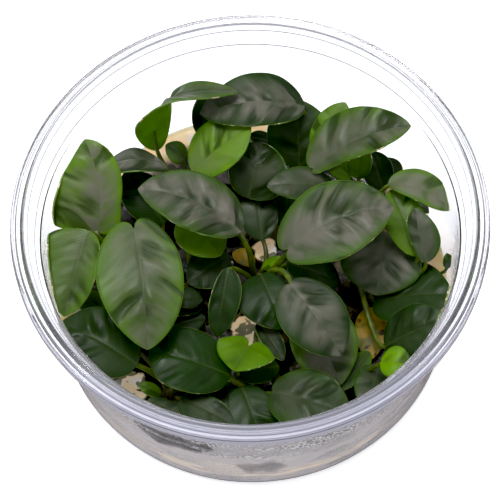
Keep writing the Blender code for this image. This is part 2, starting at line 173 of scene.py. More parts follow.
# A stalk has this radius, and this share of the blade's width on top of it. It thins from its foot
# to its end, leans out as it rises, and runs under the midrib from one seat to the other. It is
# brown at its foot, up to these heights.
STALK_LEAST = 0.35
STALK_SHARE = 0.015
STALK_TAPER = (1.45, 0.9, 0.45)
STALK_RISE = 0.35
STALK_LEAN = 0.05
STALK_BEND = 0.25
STALK_FALL = -0.2
STALK_SEATS = (0.04, 0.16)
STALK_BROWN = (12, 21)
STEM_STEPS = 10
BLADE_SEAT = 0.15

# A blade is full towards a short point, its skew fades at the tip, and its lobes and cupped edges
# swing out by these powers. Broad blades have more faces.
TIP_FULLNESS = 2.2
TIP_POINT = 0.76
SKEW_FADE = 1.4
LOBE_PLACE = 0.6
LOBE_FADE = 1.3
CUP_CURVE = 1.6
BROAD_BLADE = 8.5
BROAD_SPANS = (76, 36)
NARROW_SPANS = (40, 20)

# A blade that reaches the wall turns up along it, this far inside the wall's outer face.
WALL_CLEARANCE = 1.2
WALL_CLIMB = 0.7

# Lateral veins leave the midrib at this slope and sweep on towards the tip, and the blade swells
# between them in soft folds that are this wide along the midrib and this long across the blade.
VEIN_SLOPE = 0.55
VEIN_SWEEP = 0.022
FOLD_WIDTH = 3.3
FOLD_LENGTH = 7.5
FOLD_OCTAVES = ((1, 1), (0.45, 0.35))
FOLD_FADE = 1.5
FOLD_FULL_WIDTH = 12
CALM_SIZE = 8.0
CALM_MEAN = 0.9
CALM_SWING = 2.2
CALM_RANGE = (0.3, 1.8)
END_FADE = (5, 4)
MIDRIB_GROOVE = 0.14
MIDRIB_WIDTH = 0.45
MARGIN_WAVE = 0.45
MARGIN_WAVE_LENGTH = 6.0
MARGIN_FULL_WIDTH = 10
MARGIN_RISE = 3
MARGIN_FADE = 4
MIDDLE_CROWDING = 1.3

# Each leaf draws its own share from the first seed, and the fallen ones are this far apart. A
# leaf's folds, calm places and margin are read so far apart in the noise that none look alike.
LEAF_SEED = 3
FALLEN_SEED = 0.37
LEAVES_APART = 9
HALVES_APART = 5
CALM_APART = 4
MARGINS_APART = 3

# What the material of a blade reads at each point: place along the lateral veins and off the
# midrib in millimetres, place across and along in shares, height of the folds, and the leaf's own
# tone, its share of waxy bloom and painted sheen, and its seed.
READINGS = ("lateral", "sideways", "across", "along", "crest", "tone", "bloom", "seed")

# base and tip are where the midrib starts and ends. tone runs from an old dark blade at 0 to a
# fresh yellow-green one at 1, and bloom is how much grey-lilac it has, partly waxy bloom and
# partly painted sheen. widest is where along the midrib the blade is broadest, skew makes the
# right-hand half broader than the left one, heart draws both lobes back behind the base, and roll
# turns the blade about its midrib, in degrees at base and tip. arch bows the midrib up, bend bows
# it to the right, and cup lifts both edges. bow and lift carry the stalk round its neighbours, to
# one side and upwards.
Leaf = namedtuple(
    "Leaf",
    "base tip width tone bloom widest skew heart roll arch bend cup bow lift",
    defaults=(0.15, 0.3, 0.45, 0, 0, (0, 0), 1, 0, 0, 0, 0),
)

# creep is the compass direction that the rhizome grows in, in degrees from +X, and each root
# is a direction and a length.
Plantlet = namedtuple("Plantlet", "crown creep roots leaves")

PLANTLETS = {
    "back_left": Plantlet((-15, 22), 35, ((155, 10), (75, 9)), (
        Leaf((-18, 22, 26), (-32.5, 21.5, 26), 10, 0.2, 0.8, roll=(-30, -30), arch=4.2),
        Leaf((-20, 28.2, 22.6), (-1.4, 33.6, 37), 10.4, 0.5, 0.6, 0.4, roll=(95, 8), arch=9.7, bend=-2.5,
             cup=0.08),
        Leaf((-12, 21, 25), (1, 27, 33.5), 12.5, 0.95, 0.5, 0.48, skew=-0.08, heart=0.02, arch=1.5,
             cup=0.05),
        Leaf((-14, 25.5, 22), (-18, 28, 25), 5, 0.5, 0.2, 0.5),
    )),
    "back": Plantlet((9, 24), 160, ((100, 9), (20, 10)), (
        Leaf((-9.5, 31.5, 22), (-9.5, 37, 31), 5, 0.3, 0.1, 0.5),
        Leaf((13, 33, 31), (-10, 31.5, 32), 13.5, 0.28, 0.85, 0.42, skew=0.1, arch=3.5, lift=-0.25),
        Leaf((0, 16, 21), (3.5, 26.5, 27), 13.5, 0.3, 0.4, 0.5, skew=0.2, arch=1.5, cup=0.3, bow=-9,
             lift=0.25),
        Leaf((19, 15.5, 25), (4, 15, 28), 8.5, 0.3, 0.6, arch=1.5),
        Leaf((14.5, 19, 28), (35.5, 23.5, 37), 12, 0.5, 0.7, skew=-0.35, heart=0.05, arch=1.5, bend=-1.5,
             cup=0.1, bow=7),
        Leaf((16, 23.5, 24.5), (22, 33, 32), 8.5, 0.75, 0.2, cup=0.1),
        Leaf((11.5, 24, 20), (11.5, 35.5, 30), 14, 0.35, 0.15, 0.5, arch=1.5, cup=0.05),
        Leaf((13.5, 25, 18), (14, 30.5, 22), 2.5, 0.8, 0, 0.5, arch=0.5),
        Leaf((6.5, 30, 20), (0.5, 30, 24), 4, 0.2, 0.2, 0.5, arch=0.5),
        Leaf((8.5, 19, 15.5), (8, 11.5, 14), 7, 0.1, 0.1, 0.5),
    )),
    "left": Plantlet((-29, 3), 105, ((145, 9), (235, 9)), (
        Leaf((-33, 8, 24), (-35, 23.9, 36), 18, 0.75, 0.95, 0.12, skew=-0.5, heart=0.05, arch=1.5,
             bend=1.5, cup=0.05),
        Leaf((-34.8, 4.5, 30.5), (-40.4, -12.8, 24.5), 13, 0.6, 0.4, 0.3, skew=0.33, arch=0.8, cup=0.2),
        Leaf((-24.5, 1.5, 36), (-22.4, -23.3, 29), 18.3, 0.55, 0.6, 0.37, skew=0.06, heart=0.1, arch=2,
             bend=-0.6),
        Leaf((-19, 12.5, 17), (-27.5, 23, 22), 10, 0.1, 0.05, 0.5),
    )),
    "middle": Plantlet((1.5, -1), 20, ((320, 9), (230, 10)), (
        Leaf((2, -4, 22.5), (6, -16, 20.5), 12, 0.15, 0, skew=0.25, heart=0.05, arch=1.5),
        Leaf((-5, -4, 27), (-8, -17, 20), 6.5, 0.2, 0.05, skew=-0.25, cup=0.2),
        Leaf((8, -11, 32), (18, -25.5, 27), 14, 0.25, 0.85, 0.42, skew=0.08, heart=0.05, arch=2, bow=3,
             lift=0.25),
        Leaf((-2, 1.5, 33), (-23.5, 10.5, 37), 13.5, 0.4, 1, arch=2, bend=1.6),
        Leaf((2.5, 8, 16), (1.5, 19.5, 18.5), 8.5, 0.1, 0.25, 0.5, bow=-1.5),
        Leaf((8, -3.5, 34), (30.5, 3, 38), 18, 0.45, 1, heart=0.08, arch=2, bend=-1.6, bow=1.5, lift=-0.25),
        Leaf((7.5, -1.5, 24), (19, -5, 19), 8.5, 0.1, 0.1, 0.5, bow=-1.5),
        Leaf((2.5, -1, 20), (7, 0, 23), 2.5, 0.8, 0, arch=0.5),
    )),
    "back_right": Plantlet((30, 14), 85, ((25, 9), (125, 9)), (
        Leaf((24.5, 20.5, 20), (25, 24.5, 30), 5.5, 0.9, 0.1, 0.5, arch=0.5, cup=0.2),
        Leaf((23, 22, 18), (17.5, 25, 21), 6, 0.8, 0.1, 0.5, arch=0.5, cup=0.1),
        Leaf((30, 19.5, 16), (27.5, 27, 20.5), 7, 0.2, 0.3, 0.5, cup=0.1),
        Leaf((30, 11.5, 33.5), (43.5, 6, 30.5), 7.5, 0.6, 0.9, 0.48, skew=-0.25, arch=1.5, bend=-1),
        Leaf((33, 21.5, 15), (30.5, 26.5, 18), 6, 0.3, 0.3, 0.5, arch=0.5),
        Leaf((33.5, 18, 18), (39.5, 11, 20), 3.5, 0.2, 0.5, 0.5, arch=0.5),
    )),
    "right": Plantlet((23, -2), 170, ((340, 10), (70, 9)), (
        Leaf((37.5, -4.5, 27), (35.5, 6, 32), 6.5, 0.35, 0.5, 0.5, skew=0.35, bend=-0.5, cup=0.2),
        Leaf((36, -2.5, 26.5), (30.5, 11.5, 30.5), 9, 0.7, 0.25, 0.5, cup=0.1),
        Leaf((26.5, -8.5, 17), (42.5, -11.5, 25), 15.5, 0.25, 0.1, 0.5, skew=-0.1, heart=0.03,
             roll=(3, 3), arch=1.5),
        Leaf((42.5, -3.5, 22), (42, -2, 26), 2.5, 0.5, 0.1, 0.5, arch=0.5),
        Leaf((29.5, 5, 23), (26.5, -9, 21), 17.5, 0.35, 1, 0.55, arch=2, cup=0.05),
        Leaf((28, -21, 21), (41, -19, 29), 11.5, 0.15, 0.1, heart=0.02, roll=(-6, -6), arch=1.5),
    )),
    "front_right": Plantlet((22, -24), 190, ((320, 9), (215, 9)), (
        Leaf((13, -10.5, 21), (18, -28, 17.5), 14.5, 0.55, 0.95, heart=0.02, arch=1.5, bend=0.6,
             lift=-0.25),
        Leaf((26.4, -26.6, 25.5), (32.5, -28.4, 27), 7.2, 1, 0, 0.45, heart=0.02),
        Leaf((26.5, -24, 17), (22.5, -35, 20), 8, 0.35, 0.35, 0.42, heart=0.02, arch=1.5),
        Leaf((24.5, -20, 16), (18.5, -28.5, 15.5), 4.5, 0.5, 0.2),
    )),
    "front": Plantlet((0, -28), 15, ((225, 9), (335, 9)), (
        Leaf((-5.5, -26.5, 21), (-22.5, -21.5, 24), 15, 0.1, 0, 0.54, roll=(-5, -5), arch=2),
        Leaf((-1.4, -21.3, 24), (-4.5, -27.2, 25), 13, 0.68, 0, 0.12, heart=0.37, roll=(-5, -23),
             arch=0.5, bow=5),
        Leaf((1, -12.5, 17), (6, -22, 17.5), 4.5, 0.3, 0.4, 0.5, cup=0.3),
        Leaf((3.5, -30.5, 21), (19.5, -37.5, 22), 14, 0.35, 0.35, 0.42, heart=0.05, arch=2),
        Leaf((-3, -28.5, 19), (1, -41, 16), 10.5, 0.15, 0.05, 0.5, heart=0.03, arch=1.5),
        Leaf((5, -23, 17), (-4, -25.5, 18), 6.5, 0.15, 0.1, 0.5),
    )),
    "front_left": Plantlet((-18, -27), 330, ((160, 9), (250, 8)), (
        Leaf((-25, -24, 23), (-41, -14.5, 25), 15.5, 0.12, 0.12, 0.52, skew=-0.05, roll=(-5, -5), arch=2,
             bow=-1.5),
        Leaf((-16, -30.5, 20), (-5, -37.5, 20), 7.5, 0.25, 0.3, 0.42, skew=0.25, arch=0.8, cup=0.1),
        Leaf((-23, -29.5, 17), (-13, -36.5, 19), 5, 0.3, 0.3, skew=0.3, arch=0.8, cup=0.1, bow=1.5),
        Leaf((-20.5, -28, 16), (-25, -26.5, 18), 3, 0.6, 0.1, 0.5, arch=0.5),
        Leaf((-31, -9.5, 15), (-38, -3, 15), 6, 0.4, 0.1, 0.5),
        Leaf((-7, -25, 15), (-7.5, -32.5, 16), 6, 0.3, 0.1, 0.5),
        Leaf((-12, -40, 16.5), (-25, -35, 18), 9, 0.1, 0.3, 0.5, roll=(80, 80), arch=0, bend=-0.6),
    )),
    "inner_left": Plantlet((-13, 0), 240, ((80, 9), (300, 9)), (
        Leaf((-14.5, 10, 25), (-6.5, 0, 25), 11, 0.75, 0.15),
        Leaf((-17.5, -6, 17), (-11, -6.5, 16.5), 5, 0.2, 0.2, 0.5),
        Leaf((-18.5, -8, 14.5), (-11, -7, 14), 4, 0.2, 0.2, 0.5),
        Leaf((-18.5, -11, 13), (-10.5, -9, 13), 5.5, 0.2, 0.2, 0.5, arch=0.5),
        Leaf((-5, 3.5, 18), (-14, -2.5, 17), 9.5, 0, 0.2, 0.5, arch=0.5),
        Leaf((-5.5, 6, 17), (-14, 7.5, 16.5), 7, 0, 0.2, 0.5),
    )),
}

# Two old leaves have dropped off and lie on the gel.
FALLEN = {
    "fallen_leaf_right": Leaf((26, -7, 10.5), (25, -19.5, 10.5), 7),
    "fallen_leaf_middle": Leaf((0.5, 4.5, 10.5), (-4, 8, 10.5), 4, widest=0.5),
}

# The camera stands in front and above, as for the photograph.
CAMERA_PLACE = (0, -197.4, 418.9)
CAMERA_PITCH = 63.24
CAMERA_ROLL = -2.235
CAMERA_SHIFT = (-0.0019, -0.0011)
CAMERA_SENSOR = 36
CAMERA_CLIP = (0.01, 20)
BLACK_POINT = 0.008

# A softbox hangs over the cup, in this direction and at this distance in metres from a point in
# it. Paper lies under all, and the room is lit from overhead down to a dim horizon.
SOFTBOX_WAY = (-0.12, 0.12, 0.98)
SOFTBOX_DISTANCE = 0.75
SOFTBOX_SIZE = 0.3
SOFTBOX_TARGET = (0, 0, 30)
FLOOR_SIZE = 6
ROOM_FADE = (0.02, 0.6)
TINT_FADE = (0.02, 0.5)


def linear(code):
    """A colour in linear light with full alpha, from its sRGB hex value."""
    shares = [int(code[i:i + 2], 16) / 255 for i in (0, 2, 4)]
    lit = [s / 12.92 if s <= 0.04045 else ((s + 0.055) / 1.055) ** 2.4 for s in shares]
    return (*lit, 1)


def length_property(name, description, default):
    return bpy.props.FloatProperty(
        name=name, description=description, default=default * MM, min=0, subtype="DISTANCE",
        unit="LENGTH", precision=5,
    )


def share_property(name, description, default):
    return bpy.props.FloatProperty(
        name=name, description=description, default=default, min=0, max=1, subtype="FACTOR",
    )


def colour_property(name, description, code):
    return bpy.props.FloatVectorProperty(
        name=name, description=description, default=linear(code), size=4, min=0, max=1, subtype="COLOR",
    )


class CupLook(bpy.types.PropertyGroup):
    """What a user may change about the cup and the water on it."""
    steps: bpy.props.IntProperty(
        name="Steps round", description="Faces round the cup", default=176, min=24, max=256)
    tint: colour_property("Plastic", "Tint of the clear plastic", "f5f6fb")
    mist: colour_property("Mist", "Colour of the mist on the inside of the wall", "cac5c5")
    wet: colour_property("Wet line", "Cream where the gel wets the wall", "f0e0cc")
    # Painted shade: patches where dark leaves lie behind the wall, and the dark specks in the dew.
    wall_shade: colour_property("Leaf on the wall", "Dark green-grey of a leaf behind the wet wall", "2d3539")
    # Painted shade: grey of the thin lines along the moulded edges and the foot of the wall.
    edge: colour_property("Edges", "Grey of the thin moulded edges", "5c5c69")
    # Painted shade: lavender of the fine lines round the rim.
    ring: colour_property("Rings", "Lavender of the fine lines round the rim", "63637d")
    # Painted shade: lavender-grey in the rim, strongest at the front, and its share there.
    rim_shade: colour_property("Rim", "Lavender-grey that gathers in the thick rim", "b3b2c3")
    rim_shade_veil: share_property("Rim veil", "How much of that tint the rim has at the front", 0.62)
    drops: bpy.props.IntProperty(
        name="Drops", description="Drops of water on the wall", default=600, min=0, max=900)
    drop_size: length_property("Drop size", "Radius of a large drop", 0.42)


class GelLook(bpy.types.PropertyGroup):
    """What a user may change about the gel."""
    cream: colour_property("Gel", "Cream of the nutrient gel", "e6cda4")
    # Painted reflections of leaves in the wet gel.
    leaf_reflection: colour_property("Cloud", "Grey-green blotches in the gel", "565a42")
    # Painted reflection of the pale surroundings on the gel.
    pale_reflection: colour_property("Haze", "Whiter, cooler places in the gel", "dedbd8")
    # Painted shade under the plantlets, where their leaves shade the gel.
    gel_shade: colour_property("Stain", "Dark olive stain under the plantlets", "14110a")
    # Painted light: an emission that makes the clearings glow.
    painted_glow: share_property("Glow", "Light that comes up through the gel where it is clear", 0.3)


class LeafLook(bpy.types.PropertyGroup):
    """What a user may change about the leaves, stalks and rhizomes."""
    thickness: length_property("Blade thickness", "Thickness of a blade", 0.34)
    fold_depth: length_property("Fold depth", "How deep the soft folds between veins are", 0.8)
    vein_pitch: length_property("Vein pitch", "Distance between fine lateral veins", 0.75)
    old: colour_property("Old leaf", "Upper side of an old leaf", "19320a")
    young: colour_property("Young leaf", "Upper side of a fresh leaf", "5f8800")
    # Partly the leaf's waxy bloom, partly painted sheen on the swellings.
    bloom: colour_property("Bloom", "Grey-lilac bloom on the upper side", "6b675f")
    # Painted shade for the hollows between a blade's folds.
    hollow_shade: colour_property("Hollow", "Darker green in the hollows of a blade", "122307")
    margin: colour_property("Margin", "Greener band along the margin", "3f6419")
    midrib: colour_property("Midrib", "Pale line of the midrib", "65703c")
    rim: colour_property("Rim", "Thin pale rim of the blade", "728c44")
    scar: colour_property("Scar", "Cream of dried nicks in the margin", "ddcda0")
    under: colour_property("Underside", "Lower side of a leaf", "78b404")
    stalk: colour_property("Stalk", "Green of a stalk", "4a5f16")
    stalk_foot: colour_property("Stalk foot", "Brown where a stalk meets its crown", "3a2a17")
    bark: colour_property("Rhizome", "Brown of rhizomes and roots", "3a2c1c")
    amber: colour_property("Old amber", "Amber of a fallen leaf", "8f7410")


class StudioLook(bpy.types.PropertyGroup):
    """What a user may change about the light and the camera."""
    lens: bpy.props.FloatProperty(
        name="Lens", description="Focal length for a sensor 36 mm wide, in millimetres",
        default=147.06, min=20, max=300)
    key: bpy.props.FloatProperty(
        name="Softbox", description="Power of the softbox over the cup, in watts",
        default=4.4, min=0, max=100, unit="POWER")
    room: bpy.props.FloatProperty(
        name="Room light", description="Strength of the light of the room overhead",
        default=0.62, min=0, max=5)
    horizon: colour_property("Horizon", "Colour of the room at the horizon", "a5a3bd")
    dusk: share_property("Dark horizon", "Share of that light that is left at the horizon", 0.3)


# A kind of node: which inputs its values go to, in order, which output is read, and its settings.
Recipe = namedtuple("Recipe", "kind inputs output settings", defaults=({},))
PLACE = Recipe("TexCoord", (), "Object")
WAY = Recipe("TexCoord", (), "Generated")
READING = Recipe("Attribute", (), "Fac")
SHADOW_RAY = Recipe("LightPath", (), "Is Shadow Ray")
GLOSSY_RAY = Recipe("LightPath", (), "Is Glossy Ray")
REFLECTED_RAY = Recipe("LightPath", (), "Is Reflection Ray")
NOISE = Recipe("TexNoise", ("Vector", "Scale", "Detail"), "Fac")
LINE_NOISE = Recipe("TexNoise", ("W", "Scale", "Detail"), "Fac", {"noise_dimensions": "1D"})
RAMP = Recipe("MapRange", (0, 1, 2, 3, 4), 0, {"interpolation_type": "SMOOTHSTEP"})
BLEND = Recipe("Mix", (0, 6, 7), 2, {"data_type": "RGBA", "clamp_factor": True})
TIMES, PLUS, LESS, MOST, TIMES_PLUS, SINE, SIZE_OF = (
    Recipe("Math", (0, 1, 2), 0, {"operation": name})
    for name in ("MULTIPLY", "ADD", "SUBTRACT", "MAXIMUM", "MULTIPLY_ADD", "SINE", "ABSOLUTE"))
STRETCH = Recipe("VectorMath", (0, 1), 0, {"operation": "MULTIPLY"})
DISTANCE = Recipe("VectorMath", (0, 1), "Value", {"operation": "DISTANCE"})
LENGTH = Recipe("VectorMath", (0,), "Value", {"operation": "LENGTH"})
VECTOR = Recipe("CombineXYZ", (0, 1, 2), 0)
DEPTH = Recipe("SeparateXYZ", (0,), "Y")
HEIGHT = Recipe("SeparateXYZ", (0,), "Z")
BUMP = Recipe("Bump", ("Height", "Strength", "Distance", "Normal"), 0)
CLEAR = Recipe("BsdfTransparent", ("Color",), 0)
EITHER = Recipe("MixShader", (0, 1, 2), 0)


def feed(node, inputs):
    """Give each of these inputs of a node its value or link."""
    for name, value in inputs.items():
        if isinstance(value, bpy.types.NodeSocket):
            node.id_data.links.new(value, node.inputs[name])
        else:
            node.inputs[name].default_value = value


def add_node(tree, recipe, *values, **settings):
    """Add a node with its settings, and a value or a link for its inputs. Returns its output."""
    node = tree.nodes.new("ShaderNode" + recipe.kind)
    for name, value in {**recipe.settings, **settings}.items():
        setattr(node, name, value)
    feed(node, dict(zip(recipe.inputs, values)))
    return node.outputs[recipe.output]


def new_material(name):
    """A material, the function that adds nodes to it, and the place on its object in millimetres."""
    material = bpy.data.materials.new(name)
    material.use_nodes = True
    add = functools.partial(add_node, material.node_tree)
    return material, add, add(STRETCH, add(PLACE), (1 / MM,) * 3)


def dress(material, **inputs):
    """Give inputs of a material's shader a value or a link each."""
    named = {name.replace("_", " "): value for name, value in inputs.items()}
    feed(material.node_tree.nodes["Principled BSDF"], named)
    return material


def spots(add, where, rows, wobble, blur):
    """How far a place lies in rough-edged spots, each a centre, a radius and a share."""
    found = 0
    for *centre, radius, share in rows:
        off = add(PLUS, add(DISTANCE, where, centre), wobble)
        found = add(MOST, found, add(RAMP, off, radius - blur, radius + blur, share, 0))
    return found


def cast_no_shadow(material, add, tint):
    """Let lamp light pass a material with a faint tint, in place of a shadow."""
    nodes = material.node_tree.nodes
    passing = add(CLEAR, linear(tint))
    mix = add(EITHER, add(SHADOW_RAY), nodes["Principled BSDF"].outputs[0], passing)
    feed(nodes["Material Output"], {"Surface": mix})


def clear_plastic(look):
    """Clear polyester sheet, vacuum formed: glassy, faintly cool, with long soft flow marks, and with a
    mist of fine condensation at the front. Painted shade draws thin grey lines along its moulded
    edges and foot and fine lavender lines round the rim, a lavender-grey cast in the front of the
    rim, and dark patches where leaves lie behind the front wall; painted glints and dark specks dot
    the dew. Lamp light passes it without a shadow."""
    material, add, where = new_material("clear_formed_plastic")
    depth, height = add(DEPTH, where), add(HEIGHT, where)
    front = add(RAMP, depth, *MIST_FADE, 1, 0)
    patches = add(NOISE, add(STRETCH, where, (0.4, 0.4, 1.6)), 1 / 6, 3)
    patches = add(RAMP, patches, 0.4, 0.62, 0.45, 1)
    mist = add(TIMES, add(TIMES, front, add(RAMP, height, *MIST_TOP, 1, 0)), patches)
    gel_line = add(TIMES, add(RAMP, height, *WET_FOOT), add(RAMP, height, *WET_TOP, 1, 0))
    gel_line = add(TIMES, gel_line, add(RAMP, patches, 0.45, 0.9, 0.5, 1))
    misted = add(BLEND, mist, look.tint, add(BLEND, gel_line, look.mist, look.wet))

    # Painted shade: dark green-grey patches on the wall where dark leaves lie behind it, broken by streaks.
    wobble = add(TIMES_PLUS, add(NOISE, where, 1 / 4), 5, -2.5)
    streaks = add(NOISE, add(STRETCH, where, (0.25, 0.25, 1)), 1 / 1.5)
    wall_shade = add(TIMES, spots(add, where, LEAF_SHADE_SPOTS, wobble, 1), add(RAMP, streaks, 0.42, 0.6, 1, 0.6))
    misted = add(BLEND, wall_shade, misted, look.wall_shade)
    # Painted shade: a thin dark line along the foot of the wall at the front.
    foot = add(TIMES, front, add(RAMP, height, *FOOT_SHADE_LINE, 0.8, 0))
    misted = add(BLEND, foot, misted, look.edge)

    dew = add(TIMES, mist, add(RAMP, height, *DEW_FOOT))
    # Painted glints and dark specks: white and dark dots in the fine dew, standing in for light on the drops.
    dew_glints = add(RAMP, add(NOISE, where, 1 / 0.6, 1), 0.42, 0.58)
    glinting_dew = add(BLEND, dew_glints, look.wall_shade, linear("ffffff"))
    misted = add(BLEND, add(TIMES, dew, add(RAMP, patches, 0.5, 0.9, 0.1, 0.6)), misted, glinting_dew)

    # Painted shade: lavender-grey in the rim, fading towards the back.
    rim = add(TIMES, add(RAMP, height, *RIM_SHADE_FOOT, 0, look.rim_shade_veil), add(RAMP, depth, *RIM_SHADE_FADE, 1, 0.05))
    reach = add(LENGTH, add(STRETCH, where, (1, 1, 0)))
    # Painted shade: fine lines round the rim, fainter towards the back.
    ring_shades = add(RAMP, add(LINE_NOISE, add(LESS, reach, height), 1 / 0.45, 1), 0.53, 0.6, 0, 0.65)
    ring_shades = add(TIMES, add(TIMES, ring_shades, add(RAMP, height, *RING_SHADE_FOOT)), add(RAMP, depth, *RING_SHADE_FADE, 1, 0.3))
    # Painted shade: thin grey lines along the moulded edges, standing in for their refraction.
    edges = [(radius, 0, edge, 0.65 * EDGE_SHADE_WIDTH, 0.8) for radius, edge in EDGE_SHADE_LINES]
    lines = spots(add, add(VECTOR, reach, 0, height), edges, 0, 0.35 * EDGE_SHADE_WIDTH)
    veiled = add(BLEND, ring_shades, add(BLEND, rim, misted, look.rim_shade), look.ring)
    veil = add(MOST, add(MOST, mist, rim), add(MOST, lines, add(TIMES, ring_shades, 0.5)))

    flow = add(BUMP, add(NOISE, where, 1 / 6, 1), 0.25, 0.1 * MM)
    beads = add(BUMP, add(NOISE, where, 1 / 0.8, 1), dew, 0.8 * MM, flow)
    cast_no_shadow(material, add, "f0f0f3")
    return dress(
        material, Base_Color=add(BLEND, lines, veiled, look.edge), Normal=beads, IOR=1.5,
        Transmission_Weight=add(RAMP, veil, 0, 1, 1, 0.3), Roughness=add(RAMP, veil, 0, 1, 0.03, 0.25))


def water():
    """Water, in drops that condensed on the plastic: clear and quite smooth."""
    material, add, where = new_material("condensed_water")
    tint = add(BLEND, add(NOISE, where, 1 / 4), linear("ffffff"), linear("eceef4"))
    cast_no_shadow(material, add, "f4f4f6")
    return dress(material, Base_Color=tint, Roughness=0, IOR=1.333, Transmission_Weight=1)


def agar_gel(look):
    """Agar gel with nutrients, poured and set: cream, moist and smooth on top. Its grey-green blotches
    and paler places are painted reflections of leaves and surroundings; painted shade darkens it
    under the plantlets, and in the clearings it gives off painted light."""
    material, add, where = new_material("nutrient_agar")
    flat = add(STRETCH, where, (1, 1, 0))
    inner = add(RAMP, add(LENGTH, flat), *GEL_SHADE_FADE, 1, 0)
    # Painted reflections of leaves: grey-green blotches on the gel, away from the wall.
    leaf_reflections = add(TIMES, inner, add(RAMP, add(NOISE, where, 1 / 2.6, 3), 0.52, 0.56, 0, 0.9))
    # Painted reflection: whiter, cooler places where the gel mirrors its pale surroundings.
    pale_reflection = add(RAMP, add(NOISE, where, 1 / 7, 3), 0.5, 0.75)
    cream = add(BLEND, leaf_reflections, add(BLEND, pale_reflection, look.cream, look.pale_reflection), look.leaf_reflection)
    wobble = add(TIMES_PLUS, add(NOISE, where, 1 / 2.5), 3, -1.5)
    covered = add(LESS, 1, spots(add, flat, CLEARINGS, wobble, 0.4))
    # Painted shade: dark olive under the plantlets, left off near the wall and in the clearings.
    gel_shade = add(TIMES, inner, add(RAMP, add(NOISE, where, 1 / 11, 3), 0.5, 0.62, 1, 0.8))
    gel_shade = add(TIMES, gel_shade, covered)
    return dress(
        material, Base_Color=add(BLEND, gel_shade, cream, look.gel_shade), IOR=1.34,
        Subsurface_Weight=1, Subsurface_Scale=4 * MM, Subsurface_Radius=(1, 0.8, 0.5),
        # Painted light: the gel glows in the clearings, as if lit from below through it.
        Emission_Color=cream, Emission_Strength=add(RAMP, covered, 0, 1, look.painted_glow, 0),
        Roughness=add(RAMP, add(NOISE, where, 1 / 3), 0.3, 0.7, 0.08, 0.25),
        Normal=add(BUMP, add(NOISE, where, 1 / 2.5, 3), 0.5, 0.3 * MM))


def leaf_upper(look):
    """The upper side of a living leaf: thick leathery skin with a satin wax, dark green when old
    and yellow-green when fresh. Where it swells between the veins it is greyed lilac, partly by
    its waxy bloom and partly by painted sheen, and its hollows are darkened with painted shade."""
    material, add, where = new_material("leathery_leaf_upper")
    lateral, sideways, across, along, crest, tone, bloom, seed = (
        add(READING, attribute_name=name) for name in READINGS)
    streaks = add(NOISE, add(VECTOR, lateral, add(TIMES, sideways, 0.3), seed), 0.35)
    patches = add(NOISE, where, 1 / 4, 3)
    green = add(BLEND, add(RAMP, add(TIMES_PLUS, across, 0.18, tone), 0.4, 1.05), look.old, look.young)
    margin = add(TIMES, add(RAMP, across, 0.5, 0.95, 0, 0.5), add(RAMP, tone, 0.15, 0.6))
    green = add(BLEND, add(TIMES, margin, add(RAMP, patches, 0.3, 0.6)), green, look.margin)
    # Painted shade: the hollows between the folds are darkened.
    green = add(BLEND, add(RAMP, crest, -0.4, 0.05, 0.7, 0), green, look.hollow_shade)

    # Painted sheen with some waxy bloom: grey-lilac on the crests between the veins, less towards the margin.
    sheen_cover = add(TIMES, add(RAMP, crest, -0.4, 0.15, 0.2, 1), add(RAMP, streaks, 0.32, 0.5, 0.5, 1))
    sheen_cover = add(TIMES, sheen_cover, add(RAMP, patches, 0.3, 0.5, 0.5, 0.9))
    sheen_cover = add(TIMES, sheen_cover, add(RAMP, add(NOISE, where, 1 / 10, 1), 0.38, 0.56, 0.55, 1))
    sheen_cover = add(TIMES, sheen_cover, add(RAMP, across, 0.55, 1, 1, 0.05))
    bloom_sheened = add(BLEND, add(TIMES, sheen_cover, bloom), green, look.bloom)

    wave = add(SINE, add(TIMES, lateral, 2 * math.pi * MM / look.vein_pitch))
    lines = add(TIMES, add(RAMP, wave, 0, 1, 0, 0.06), add(RAMP, across, 0.1, 0.9, 1, 0.2))
    veined = add(BLEND, lines, bloom_sheened, look.midrib)
    rib = add(TIMES, add(RAMP, add(SIZE_OF, sideways), 0.08, 0.42, 1, 0), add(RAMP, along, 0, 1, 0.15, 0))
    ribbed = add(BLEND, rib, veined, look.midrib)
    fine = add(BUMP, wave, 0.15, 0.02 * MM)
    return dress(
        material, Base_Color=add(BLEND, add(RAMP, across, 0.97, 1, 0, 0.4), ribbed, look.rim),
        Roughness=add(RAMP, streaks, 0.3, 0.7, 0.34, 0.5), IOR=1.45, Specular_IOR_Level=0.22,
        Normal=add(BUMP, add(NOISE, where, 1 / 0.5), 0.3, 0.04 * MM, fine))


def leaf_under(look):
    """The lower side of a leaf: paler and more matt than the upper side, with raised veins."""
    material, add, where = new_material("leathery_leaf_under")
    lateral, across, tone = (add(READING, attribute_name=name) for name in ("lateral", "across", "tone"))
    dull = add(BLEND, add(RAMP, tone, 0, 0.6), linear("2f3d1c"), look.under)
    patches = add(RAMP, add(NOISE, where, 1 / 3), 0.35, 0.7, 0, 0.5)
    green = add(BLEND, patches, dull, linear("5b7a1e"))
    wave = add(SINE, add(TIMES, lateral, 2 * math.pi * MM / look.vein_pitch))
    return dress(
        material, Base_Color=add(BLEND, add(RAMP, across, 0.9, 1, 0, 0.6), green, look.rim),
        Roughness=0.55, IOR=1.45, Normal=add(BUMP, wave, 0.4, 0.06 * MM))


def leaf_rim(look):
    """The cut-thin margin of a leaf, pale and slightly translucent where light gathers in it."""
    material, add, where = new_material("leaf_margin")
    green = add(BLEND, add(RAMP, add(NOISE, where, 1 / 2.5, 3), 0.4, 0.65), look.rim, look.margin)
    flecks = add(RAMP, add(NOISE, where, 1 / 1.3, 1), 0.62, 0.66)
    return dress(
        material, Base_Color=add(BLEND, flecks, green, look.scar), Roughness=0.4, IOR=1.45,
        Subsurface_Weight=0.3, Subsurface_Scale=0.4 * MM)


